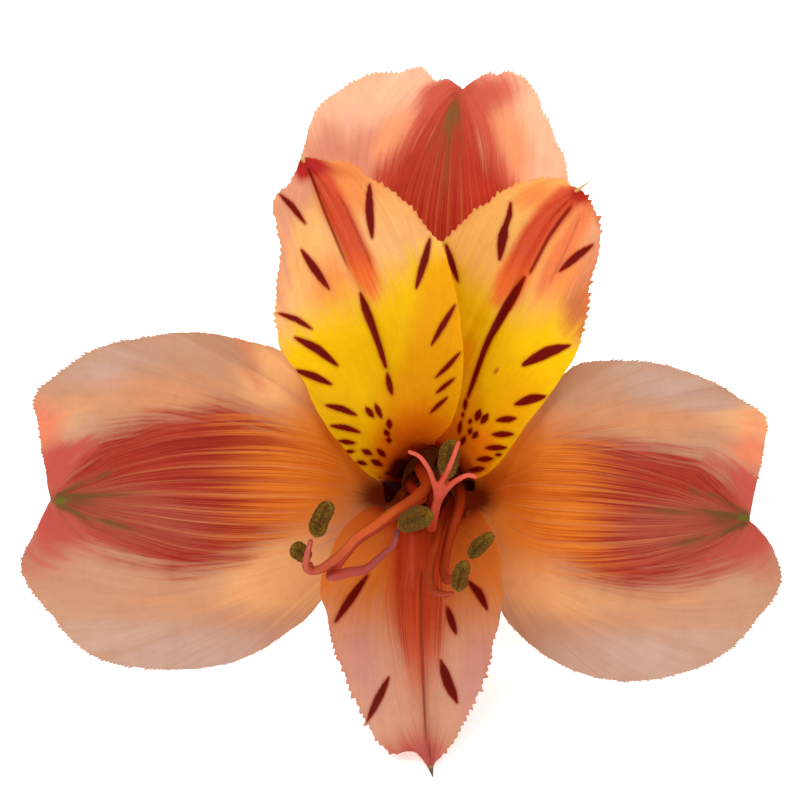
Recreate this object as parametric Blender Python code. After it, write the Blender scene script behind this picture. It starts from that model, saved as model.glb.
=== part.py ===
"""Alstroemeria floret with its ovary and a cut flower stalk, lying down.

Units are metres, +Z up.  The floret faces -Y and tips back by FACE_TILT, so it
rests on the lower edges of its two side tepals, on the tip of its lower tepal
and on the far end of its stalk.

The organs are drawn in a flower frame: u to the right across the face, v up
the face, both in steps of GRID, and d out of the face towards the viewer in
millimetres.  u = v = d = 0 is the middle of the throat.  Each tepal is lofted
between three rails (left margin, midrib, right margin) that start on a ring
round the top of the ovary and end at the apex.
"""
import math

import bpy
import numpy as np
from mathutils import Vector

# ------------------------------------------------------------------ driving dimensions
MM = 0.001
GRID = 0.0915 * MM                 # one step of the drawing grid
FACE_TILT = math.radians(28.0)     # the face leans back from upright
LIFT = 17.32 * MM                  # height of the throat above the surface
CENTRE_X = -2.85 * MM              # middle of the footprint, from the throat
CENTRE_Y = 29.45 * MM

TEPAL_THICK = 0.45 * MM
ROWS_ALONG = 27                    # loft rows from claw to apex
ROWS_ACROSS = 11                   # loft columns from margin to margin

FILAMENT_D = 1.00 * MM
STYLE_D = 0.90 * MM
LOBE_D = 0.62 * MM
RING_D = -27.5                     # depth of the ring that the tepals spring from
RING_V = 20.0                      # height of the ring's middle on the face
OUTER_RING = 40.0                  # radius of the outer whorl's ring, grid steps
INNER_RING = 28.0
STAMEN_RING = 16.5

OVARY_LENGTH = 9.0 * MM
OVARY_TOP_R = 4.05 * MM
OVARY_END_R = 1.30 * MM
RIBS = 6
STALK_R = 1.10 * MM
STALK_REACH = 80.2 * MM            # how far behind the throat the cut end lies
JOINT_GAP = 0.36 * MM

# ------------------------------------------------------------------ rails of the six tepals
# (u, v, d) with u, v in grid steps and d in millimetres; a pair (u, v) takes its
# depth from its neighbours.
TEPALS = {
    "outer_tepal_top": {
        "left": [(-25, 51, -27.5), (-33, 54, -18), (-52, 64, -14.5), (-60, 100, -12.5),
                 (-100, 180, -10), (-125, 260, -7.5), (-134, 330, -6), (-128, 352),
                 (-124, 370), (-112, 392), (-87, 412), (-67, 422), (-52, 426),
                 (-31, 427, -5), (-12, 431), (-2, 422), (4, 418), (15, 420),
                 (24, 414), (29, 411, -6.8)],
        "mid": [(0, 60, -27.5), (0, 66, -18), (2, 85, -14.5), (5, 120, -12.5),
                (10, 200, -9), (15, 290, -6.3), (20, 360, -5.7), (24, 392, -6.2),
                (31, 409, -6.8)],
        "right": [(25, 51, -27.5), (33, 54, -18), (52, 64, -14.5), (60, 100, -12.5),
                  (100, 170, -10), (130, 240, -7.5), (139, 300, -6), (138, 314),
                  (135, 328), (132, 344), (125, 358), (118, 375), (111, 386),
                  (109, 399), (102, 410), (94, 420), (83, 425, -5), (74, 427),
                  (64, 423), (57, 425), (45, 419), (34, 412, -6.8)],
    },
    "outer_tepal_left": {
        "left": [(-21, -14, -27.5), (-37, -34, -18), (-59, -54, -12), (-102, -93, -9),
                 (-125, -121), (-152, -140), (-182, -158), (-217, -170),
                 (-252, -174, -6.9), (-290, -172), (-332, -163), (-357, -147),
                 (-381, -120), (-397, -99), (-409, -81, -3), (-412, -67),
                 (-400, -38), (-387, -13), (-383, -5, -4)],
        "mid": [(-38, 6, -27.5), (-53, -1, -18), (-80, -4, -10.5), (-120, -4, -5.5),
                (-200, -3, -2), (-290, 0, -1.5), (-382, -2, -4)],
        "right": [(-38, 32, -27.5), (-49, 30, -18), (-68, 42, -12), (-90, 85, -9.6),
                  (-120, 120, -7.6), (-142, 142, -5.4), (-177, 155), (-217, 163),
                  (-262, 163), (-302, 157), (-342, 145), (-372, 125),
                  (-397, 102, -1), (-394, 67), (-387, 27), (-383, 2, -4)],
    },
    "outer_tepal_right": {
        "left": [(38, 32, -27.5), (49, 30, -18), (68, 42, -12), (90, 75, -9.5),
                 (118, 105, -7.8), (143, 131, -6), (168, 136), (208, 135),
                 (243, 129), (288, 112), (318, 92), (334, 80, -1), (334, 57),
                 (326, 19), (319, -18, -4)],
        "mid": [(38, 6, -27.5), (53, -1, -18), (80, -6, -10.5), (110, -10, -6),
                (180, -14, -2), (250, -18, -1.5), (318, -22, -4)],
        "right": [(21, -14, -27.5), (37, -34, -18), (59, -54, -12), (66, -103, -9),
                  (73, -121), (98, -148), (123, -165), (158, -180), (193, -185, -4.7),
                  (233, -182), (268, -171), (293, -158), (313, -139), (330, -118),
                  (345, -97), (350, -80, -3), (340, -51), (325, -30), (319, -25, -4)],
    },
    "inner_tepal_upper_left": {
        "left": [(-28, 18, -27.5), (-43, 5, -18), (-52, 15, -12), (-64, 23, -10.2), (-76, 34, -8.7),
                 (-88, 48, -7.2), (-97, 59, -6.1), (-107, 73, -5), (-116, 89), (-125, 109, -3),
                 (-135, 126, -2), (-145, 139),
                 (-152, 151), (-154, 168),
                 (-157, 180), (-157, 200), (-156, 215, 3), (-154, 231), (-151, 245),
                 (-154, 262), (-156, 275, 3.6), (-159, 288), (-156, 302),
                 (-146, 311), (-139, 322), (-132, 336, 1)],
        "mid": [(-23, 36, -27.5), (-28, 42, -20), (-34, 56, -12), (-37, 77, -8),
                (-44, 122, -5), (-57, 172, -1), (-72, 207, 0.8), (-87, 247, 2),
                (-107, 292, 2.2), (-129, 338, 1)],
        "right": [(-7, 47, -27.5), (-4, 50, -18), (4, 57, -11.2), (20, 75, -6.4),
                  (29, 107, -2), (31, 147, 1.5), (28, 177, 3), (24, 203, 3.8),
                  (17, 232, 4.2), (9, 253), (0, 263, 4.5), (-9, 274), (-20, 288),
                  (-38, 304), (-50, 312), (-60, 319), (-75, 330), (-89, 336),
                  (-105, 337), (-118, 339), (-126, 340, 1)],
    },
    "inner_tepal_upper_right": {
        "left": [(7, 47, -27.5), (4, 55, -18), (-6, 68, -13.2), (-14, 82, -10.2),
                 (-20, 110, -6.9), (-24, 157, -4.2), (-19, 202, -2.2), (-3, 240, 0.0),
                 (9, 254, 0.8), (18, 262), (27, 271), (36, 280), (47, 289), (60, 298),
                 (69, 307), (80, 312), (95, 317), (109, 320), (123, 319), (133, 316),
                 (141, 311), (146, 309, 0.8)],
        "mid": [(23, 36, -27.5), (33, 36, -18), (29, 60, -12.5), (33, 97, -8.5),
                (43, 125, -6), (58, 157, -3.5), (73, 189, -1.5), (88, 222, 0),
                (103, 252, 1), (123, 282, 1.4), (148, 307, 0.8)],
        "right": [(28, 18, -27.5), (41, 12, -18), (46, 18, -12), (56, 23), (69, 35), (83, 54),
                  (97, 75), (113, 95), (122, 108), (137, 131, -2.5), (147, 147), (151, 160),
                  (155, 178, 0.5),
                  (158, 195), (159, 210, 1.5), (163, 226), (168, 245, 3), (169, 262),
                  (167, 275, 3), (163, 287), (157, 298), (151, 306, 0.8)],
    },
    "inner_tepal_lower": {
        "left": [(-18, -1, -27.5), (-32, -21, -18), (-60, -10, -10), (-87, -30, -5),
                 (-102, -58, -1.5), (-111, -83, 0.5), (-111, -100, 1.5), (-106, -112),
                 (-100, -143), (-88, -177), (-81, -193, 6.2), (-70, -217), (-64, -228),
                 (-50, -247, 8), (-37, -256), (-17, -254), (-4, -268, 10.7)],
        "mid": [(0, -8, -27.5), (0, -35, -18), (-2, -45, -11), (-4, -70, -6),
                (-6, -110, 0), (-6, -150, 4), (-5, -200, 7), (-3, -245, 9.3),
                (-1, -274, 10.7)],
        "right": [(18, -1, -27.5), (32, -21, -18), (45, -12, -10), (56, -28, -6),
                  (64, -43, -3), (68, -58, -1), (70, -83, 1), (70, -103, 2),
                  (67, -120), (60, -152), (50, -187, 6), (41, -208), (34, -223),
                  (25, -242, 8), (13, -254), (3, -263, 10.2), (1, -270, 10.7)],
    },
}

# ------------------------------------------------------------------ stamens and style
FILAMENTS = {
    1: (120, [(-12, 28, -17), (-8, 18, -7), (-6, 10, -1), (-20, -3, 3.5), (-39, -15, 7),
              (-57, -28, 9), (-75, -40, 10.5), (-88, -54, 11.5), (-100, -65, 12.3),
              (-111, -71, 13), (-120, -73, 13.7), (-125, -69, 14.6), (-125, -62, 15.5),
              (-123, -52, 16.8), (-120.5, -43, 18)]),
    2: (180, [(-22, 12, -17), (-16, 4, -9), (-10, 0, -4), (-20, -7, 0.6), (-39, -18, 4.4),
              (-57, -31, 6.4), (-75, -43, 8), (-88, -58, 9.2), (-97, -71, 10.2),
              (-101, -78, 11.6), (-93, -77, 13), (-83, -74, 14), (-66, -71, 15.2),
              (-54, -61, 16.2), (-45, -53, 17), (-39, -48, 17.6), (-36, -40, 18.1),
              (-35.5, -33, 18.4)]),
    3: (240, [(-24, -3, -17), (-23, -12, -10), (-21, -15, -6), (-28, -17, -2),
              (-39, -17, 1.8), (-57, -30, 4), (-75, -42, 5.6), (-90, -56, 7),
              (-104, -66, 8), (-114, -71, 9.2), (-120, -70, 10.3), (-121, -66, 11)]),
    4: (60, [(12, 28, -18), (12, 16, -8), (11, 8, 0), (12, 9, 6), (14.6, 15.5, 9.8)]),
    5: (0, [(28, 10, -18), (27, -13, -8), (18, -40, -2.5), (13, -62, 2.5), (12, -76, 6.5),
            (16, -82, 9.5), (24, -77, 12), (31, -68, 13.8), (34, -63.5, 14.6)]),
    6: (300, [(19, -6, -18), (9, -25, -7.5), (3, -45, 0.5), (-2, -66, 5), (-3, -83, 8.5),
              (3, -94, 11), (13, -96, 13.4), (20, -95, 15)]),
}
# base end, far end, length across the lobes, thickness of the anthers
ANTHERS = {
    1: ((-116.5, -38.5, 18.6), (-101.5, -3.5, 19.8), 1.80, 1.15),
    2: ((-121.5, -61, 11.6), (-139, -47, 12.4), 1.65, 1.05),
    3: ((-33.5, -28.5, 18.9), (0, -15.5, 21.6), 2.15, 1.30),
    4: ((15, 19, 10.6), (20, 57.5, 11.2), 1.90, 1.15),
    5: ((36.5, -59.5, 15.2), (60.5, -35.5, 16.6), 1.35, 1.00),
    6: ((25, -92.5, 15.9), (33, -63, 18.2), 1.55, 1.05),
}
STYLE_PATH = [(0, 20, -27.2), (0, 10, -20), (0, -8, -10), (-1, -24, 0), (0, -30, 7),
              (2, -17, 12), (6, 0, 15.2)]
STIGMA_LOBES = [
    [(4, -8, 14.0), (4, 6, 16.2), (0.6, 18.4, 17.2), (-5, 31, 18), (-13.4, 41.5, 18.5),
     (-23, 45.8, 18.6)],
    [(5, -5, 14.4), (8, 12, 16.6), (14.6, 25.4, 17.6), (20, 38, 18.4), (26, 55, 19)],
    [(4.5, -6, 14.2), (12, 6, 16.4), (20, 14.5, 17.4), (27, 19, 18.2), (35, 22.5, 18.8),
     (43, 21, 19)],
]


# ------------------------------------------------------------------ geometry helpers
def world(p):
    """Flower-frame point (u, v in grid steps, d in millimetres) to world metres."""
    u, v, d = p[0] * GRID, p[1] * GRID, p[2] * MM
    return np.array([u - CENTRE_X,
                     v * math.sin(FACE_TILT) - d * math.cos(FACE_TILT) - CENTRE_Y,
                     v * math.cos(FACE_TILT) + d * math.sin(FACE_TILT) + LIFT])


def with_depths(points):
    """Give every (u, v) pair a depth, linear along the rail between given depths."""
    flat = np.array([[p[0], p[1]] for p in points], float)
    run = np.concatenate([[0.0], np.cumsum(np.linalg.norm(np.diff(flat, axis=0), axis=1))])
    known = [i for i, p in enumerate(points) if len(p) == 3]
    depth = np.interp(run, [run[i] for i in known], [points[i][2] for i in known])
    return [(flat[i][0], flat[i][1], depth[i]) for i in range(len(points))]


def smooth_path(points, dense=14):
    """Centripetal Catmull-Rom curve through the points."""
    pts = [np.asarray(p, float) for p in points]
    pts = [2 * pts[0] - pts[1]] + pts + [2 * pts[-1] - pts[-2]]
    out = []
    for i in range(1, len(pts) - 2):
        p0, p1, p2, p3 = pts[i - 1:i + 3]
        t0 = 0.0
        t1 = t0 + max(np.linalg.norm(p1 - p0), 1e-9) ** 0.5
        t2 = t1 + max(np.linalg.norm(p2 - p1), 1e-9) ** 0.5
        t3 = t2 + max(np.linalg.norm(p3 - p2), 1e-9) ** 0.5
        for k in range(dense):
            t = t1 + (t2 - t1) * k / dense
            a1 = (t1 - t) / (t1 - t0) * p0 + (t - t0) / (t1 - t0) * p1
            a2 = (t2 - t) / (t2 - t1) * p1 + (t - t1) / (t2 - t1) * p2
            a3 = (t3 - t) / (t3 - t2) * p2 + (t - t2) / (t3 - t2) * p3
            b1 = (t2 - t) / (t2 - t0) * a1 + (t - t0) / (t2 - t0) * a2
            b2 = (t3 - t) / (t3 - t1) * a2 + (t - t1) / (t3 - t1) * a3
            out.append((t2 - t) / (t2 - t1) * b1 + (t - t1) / (t2 - t1) * b2)
    out.append(pts[-2])
    return np.array(out)


def by_length(path, stations):
    """Points of a path at the given fractions of its length."""
    run = np.concatenate([[0.0], np.cumsum(np.linalg.norm(np.diff(path, axis=0), axis=1))])
    want = np.asarray(stations) * run[-1]
    return np.stack([np.interp(want, run, path[:, k]) for k in range(3)], axis=1)


def rail(points, stations):
    return by_length(smooth_path([world(p) for p in with_depths(points)]), stations)


def material(name, colour, roughness):
    mat = bpy.data.materials.new(name)
    mat.use_nodes = True
    shader = mat.node_tree.nodes["Principled BSDF"]
    shader.inputs["Base Color"].default_value = (*colour, 1.0)
    shader.inputs["Roughness"].default_value = roughness
    shader.inputs["Metallic"].default_value = 0.0
    mat.diffuse_color = (*colour, 1.0)
    return mat


def make_object(name, verts, faces, mat, smooth=True):
    mesh = bpy.data.meshes.new(name)
    mesh.from_pydata([tuple(v) for v in verts], [], faces)
    mesh.validate()
    mesh.update()
    if smooth:
        mesh.shade_smooth()
        mesh.set_sharp_from_angle(angle=math.radians(60))
    mesh.materials.append(mat)
    obj = bpy.data.objects.new(name, mesh)
    bpy.context.scene.collection.objects.link(obj)
    return obj


def tepal(name, rails, mat):
    """Thin closed blade lofted across the three rails."""
    t = np.linspace(0.0, 1.0, ROWS_ALONG)
    left, mid, right = (rail(rails[k], t) for k in ("left", "mid", "right"))
    s = np.linspace(-1.0, 1.0, ROWS_ACROSS)
    grid = np.zeros((ROWS_ALONG, ROWS_ACROSS, 3))
    for j, sj in enumerate(s):
        grid[:, j] = mid + 0.5 * (right - left) * sj + (0.5 * (right + left) - mid) * sj * sj
    along = np.gradient(grid, axis=0)
    across = np.gradient(grid, axis=1)
    normal = np.cross(across, along)
    normal /= np.linalg.norm(normal, axis=2, keepdims=True) + 1e-15
    # blend the normals near the pointed apex, where the columns crowd together
    normal[-1] = normal[-2]
    front = grid + normal * TEPAL_THICK / 2
    back = grid - normal * TEPAL_THICK / 2
    n, m = ROWS_ALONG, ROWS_ACROSS
    verts = list(front.reshape(-1, 3)) + list(back.reshape(-1, 3))
    f = lambda i, j: i * m + j
    b = lambda i, j: n * m + i * m + j
    faces = []
    for i in range(n - 1):
        for j in range(m - 1):
            faces.append((f(i, j), f(i, j + 1), f(i + 1, j + 1), f(i + 1, j)))
            faces.append((b(i, j), b(i + 1, j), b(i + 1, j + 1), b(i, j + 1)))
    for i in range(n - 1):
        faces.append((f(i, 0), f(i + 1, 0), b(i + 1, 0), b(i, 0)))
        faces.append((f(i + 1, m - 1), f(i, m - 1), b(i, m - 1), b(i + 1, m - 1)))
    for j in range(m - 1):
        faces.append((f(0, j + 1), f(0, j), b(0, j), b(0, j + 1)))
        faces.append((f(n - 1, j), f(n - 1, j + 1), b(n - 1, j + 1), b(n - 1, j)))
    return make_object(name, verts, faces, mat)


def frames_along(path):
    """Two unit vectors across the path at every point, without twist."""
    tang = np.gradient(path, axis=0)
    tang /= np.linalg.norm(tang, axis=1, keepdims=True)
    start = np.array([1.0, 0.0, 0.0])
    if abs(start @ tang[0]) > 0.9:
        start = np.array([0.0, 0.0, 1.0])
    a = start - (start @ tang[0]) * tang[0]
    a /= np.linalg.norm(a)
    first, second = [], []
    for tg in tang:
        a = a - (a @ tg) * tg
        a /= np.linalg.norm(a)
        first.append(a)
        second.append(np.cross(tg, a))
    return np.array(first), np.array(second)


def loft(path, radius, sides, outline=None):
    """Closed solid round a path; outline(angle, station) scales the radius."""
    a, b = frames_along(path)
    verts, faces = [], []
    n = len(path)
    for i in range(n):
        for k in range(sides):
            ang = 2 * math.pi * k / sides
            r = radius[i] * (outline(ang, i / (n - 1)) if outline else 1.0)
            verts.append(path[i] + r * (math.cos(ang) * a[i] + math.sin(ang) * b[i]))
    for i in range(n - 1):
        for k in range(sides):
            k2 = (k + 1) % sides
            faces.append((i * sides + k, i * sides + k2, (i + 1) * sides + k2,
                          (i + 1) * sides + k))
    faces.append(tuple(reversed(range(sides))))
    faces.append(tuple((n - 1) * sides + k for k in range(sides)))
    return verts, faces


def filament(name, angle, way, mat):
    turn = math.radians(angle)
    base = (STAMEN_RING * math.cos(turn), RING_V + STAMEN_RING * math.sin(turn),
            RING_D + 0.3)
    path = smooth_path([world(p) for p in [base] + way])
    length = np.linalg.norm(np.diff(path, axis=0), axis=1).sum()
    stations = max(10, int(length / (2.2 * MM)))
    path = by_length(path, np.linspace(0, 1, stations))
    t = np.linspace(0, 1, stations)
    radius = FILAMENT_D / 2 * (1.0 - 0.12 * t - 0.40 * np.clip((t - 0.90) / 0.10, 0, 1))
    verts, faces = loft(path, radius, 8)
    return make_object(name, verts, faces, mat)


def anther(name, base, tip, width, thick, mat):
    """Two long pollen sacs side by side, swollen in the middle."""
    p0, p1 = world(base), world(tip)
    axis = p1 - p0
    length = np.linalg.norm(axis)
    axis /= length
    face = world((0, 0, 1)) - world((0, 0, 0))
    face /= np.linalg.norm(face)
    side = np.cross(axis, face)
    side /= np.linalg.norm(side)
    up = np.cross(side, axis)
    rings, sides = 9, 12
    verts, faces = [p0], []
    for i in range(1, rings):
        x = i / rings
        swell = (1 - abs(2 * x - 1) ** 2.6) ** 0.5
        for k in range(sides):
            ang = 2 * math.pi * k / sides
            groove = 1.0 - 0.22 * math.exp(-((math.cos(ang) / 0.28) ** 2))
            verts.append(p0 + axis * length * x
                         + side * math.cos(ang) * width * MM / 2 * swell
                         + up * math.sin(ang) * thick * MM / 2 * swell * groove)
    verts.append(p1)
    last = len(verts) - 1
    for k in range(sides):
        k2 = (k + 1) % sides
        faces.append((0, 1 + k, 1 + k2))
        for i in range(rings - 2):
            r0, r1 = 1 + i * sides, 1 + (i + 1) * sides
            faces.append((r0 + k, r1 + k, r1 + k2, r0 + k2))
        faces.append((last, 1 + (rings - 2) * sides + k2, 1 + (rings - 2) * sides + k))
    obj = make_object(name, verts, faces, mat)
    orient_outwards(obj)
    return obj


def orient_outwards(obj):
    import bmesh
    bm = bmesh.new()
    bm.from_mesh(obj.data)
    bmesh.ops.recalc_face_normals(bm, faces=bm.faces[:])
    bm.to_mesh(obj.data)
    bm.free()
    obj.data.update()


def style(name, mat):
    """One column that splits into three slender stigma lobes near its top."""
    path = smooth_path([world(p) for p in STYLE_PATH])
    path = by_length(path, np.linspace(0, 1, 17))
    t = np.linspace(0, 1, 17)
    radius = STYLE_D / 2 * (1.0 - 0.10 * t)
    verts, faces = loft(path, radius, 10)
    column = make_object(name, verts, faces, mat)
    for number, way in enumerate(STIGMA_LOBES):
        path = smooth_path([world(p) for p in way])
        path = by_length(path, np.linspace(0, 1, 10))
        t = np.linspace(0, 1, 10)
        radius = LOBE_D / 2 * (1.0 + 0.04 * number - 0.45 * t ** 1.5)
        verts, faces = loft(path, radius, 8)
        lobe = make_object("lobe_cutter_%d" % (number + 1), verts, faces, mat)
        orient_outwards(lobe)
        lobe.hide_render = True
        lobe.display_type = "WIRE"
        join = column.modifiers.new("lobe_%d" % (number + 1), "BOOLEAN")
        join.operation = "UNION"
        join.solver = "EXACT"
        join.object = lobe
    orient_outwards(column)
    return column


def axis_of_ovary():
    """Ovary axis: straight out behind the face, then levelling off to the stalk."""
    out = np.array([0.0, math.cos(FACE_TILT), -math.sin(FACE_TILT)])
    start = world((0, RING_V, RING_D)) + out * (TEPAL_THICK / 2 + JOINT_GAP)
    slope = math.radians(17.0)
    flat = np.array([0.0, math.cos(slope), -math.sin(slope)])
    end = start + 0.5 * OVARY_LENGTH * (out + flat)
    return smooth_path([start, start + out * OVARY_LENGTH * 0.45, end]), end, flat


def ovary(name, mat):
    path, _, _ = axis_of_ovary()
    stations = np.linspace(0, 1, 12)
    path = by_length(path, stations)
    profile_t = [0.0, 0.06, 0.18, 0.35, 0.55, 0.75, 0.90, 1.0]
    profile_r = [0.86, 0.985, 1.0, 0.93, 0.76, 0.55, 0.40, OVARY_END_R / OVARY_TOP_R]
    radius = OVARY_TOP_R * np.interp(stations, profile_t, profile_r)

    def ribbed(ang, t):
        depth = 0.085 * math.sin(math.pi * min(1.0, 0.15 + 0.85 * t)) ** 0.5
        return 1.0 - depth * (0.5 - 0.5 * math.cos(RIBS * ang))
    verts, faces = loft(path, radius, 36, ribbed)
    return make_object(name, verts, faces, mat)


def pedicel(name, mat):
    _, end, flat = axis_of_ovary()
    start = end + flat * JOINT_GAP
    rest = STALK_R
    y_end = STALK_REACH - CENTRE_Y
    knots = [start,
             start + flat * 4.0 * MM,
             np.array([start[0] + 0.35 * MM, start[1] + 10.5 * MM, rest + 0.30 * MM]),
             np.array([start[0] + 1.0 * MM, start[1] + 17.0 * MM, rest]),
             np.array([start[0] + 2.2 * MM, start[1] + 27.0 * MM, rest]),
             np.array([start[0] + 3.4 * MM, start[1] + 37.0 * MM, rest]),
             np.array([start[0] + 3.9 * MM, y_end, rest])]
    path = by_length(smooth_path(knots), np.linspace(0, 1, 22))
    path[:, 2] = np.maximum(path[:, 2], rest)
    t = np.linspace(0, 1, 22)
    radius = STALK_R * (1.0 + 0.17 * np.exp(-(t / 0.06) ** 2))
    verts, faces = loft(path, radius, 14)
    return make_object(name, verts, faces, mat)


# ------------------------------------------------------------------ build
def main():
    for old in list(bpy.data.objects):
        bpy.data.objects.remove(old, do_unlink=True)

    peach = material("tepal_peach", (0.76, 0.36, 0.23), 0.50)
    crimson = material("tepal_crimson_peach", (0.70, 0.25, 0.15), 0.50)
    yellow = material("tepal_yellow", (0.90, 0.52, 0.06), 0.48)
    pink = material("tepal_pink", (0.78, 0.34, 0.20), 0.50)
    orange_red = material("filament_orange_red", (0.60, 0.10, 0.03), 0.42)
    salmon = material("stigma_salmon", (0.72, 0.13, 0.06), 0.40)
    olive = material("pollen_olive", (0.13, 0.09, 0.01), 0.85)
    green = material("ovary_green", (0.16, 0.24, 0.05), 0.48)
    stalk_green = material("stalk_green", (0.20, 0.28, 0.07), 0.50)

    finishes = {"outer_tepal_top": crimson, "outer_tepal_left": peach,
                "outer_tepal_right": peach, "inner_tepal_upper_left": yellow,
                "inner_tepal_upper_right": yellow, "inner_tepal_lower": pink}
    for name, rails in TEPALS.items():
        orient_outwards(tepal(name, rails, finishes[name]))
    for number, (angle, way) in FILAMENTS.items():
        orient_outwards(filament("filament_%d" % number, angle, way, orange_red))
    for number, (base, tip, width, thick) in ANTHERS.items():
        anther("anther_%d" % number, base, tip, width, thick, olive)
    style("style", salmon)
    orient_outwards(ovary("ovary", green))
    orient_outwards(pedicel("pedicel", stalk_green))


main()
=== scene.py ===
"""Looks of the alstroemeria floret: tepals, stamens, style, ovary and cut stalk.

Every organ is rebuilt as a fine mesh on the rails that the model uses.  Colour
masks are drawn in face coordinates: x to the right and y down the face, in steps
of GRID, with the middle of the throat at (THROAT_X, THROAT_Y).
"""
import math

import bpy
import numpy as np
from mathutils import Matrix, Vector

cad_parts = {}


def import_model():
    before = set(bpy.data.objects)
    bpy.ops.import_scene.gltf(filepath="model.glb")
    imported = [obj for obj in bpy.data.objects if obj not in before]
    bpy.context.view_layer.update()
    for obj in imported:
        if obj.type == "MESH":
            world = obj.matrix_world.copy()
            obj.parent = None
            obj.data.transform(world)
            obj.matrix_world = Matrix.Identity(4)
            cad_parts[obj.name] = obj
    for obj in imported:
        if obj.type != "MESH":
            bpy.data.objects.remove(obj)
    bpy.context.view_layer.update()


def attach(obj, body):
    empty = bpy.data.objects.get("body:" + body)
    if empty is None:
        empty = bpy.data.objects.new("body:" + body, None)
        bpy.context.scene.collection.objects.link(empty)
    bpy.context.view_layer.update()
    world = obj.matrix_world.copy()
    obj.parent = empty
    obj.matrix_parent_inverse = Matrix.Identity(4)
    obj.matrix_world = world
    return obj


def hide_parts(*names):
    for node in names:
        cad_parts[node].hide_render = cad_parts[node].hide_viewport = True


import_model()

# ------------------------------------------------------------------ dimensions of the model
MM = 0.001
GRID = 0.0915 * MM
FACE_TILT = math.radians(28.0)
LIFT = 17.32 * MM
CENTRE_X = -2.85 * MM
CENTRE_Y = 29.45 * MM
THROAT_X, THROAT_Y = 432.0, 497.0

FILAMENT_D = 1.00 * MM
STYLE_D = 0.90 * MM
LOBE_D = 0.62 * MM
RING_D = -27.5
RING_V = 20.0
STAMEN_RING = 16.5
OVARY_LENGTH = 9.0 * MM
OVARY_TOP_R = 4.05 * MM
OVARY_END_R = 1.30 * MM
RIBS = 6
STALK_R = 1.10 * MM
STALK_REACH = 80.2 * MM
JOINT_GAP = 0.36 * MM
TEPAL_THICK = 0.45 * MM

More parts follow.
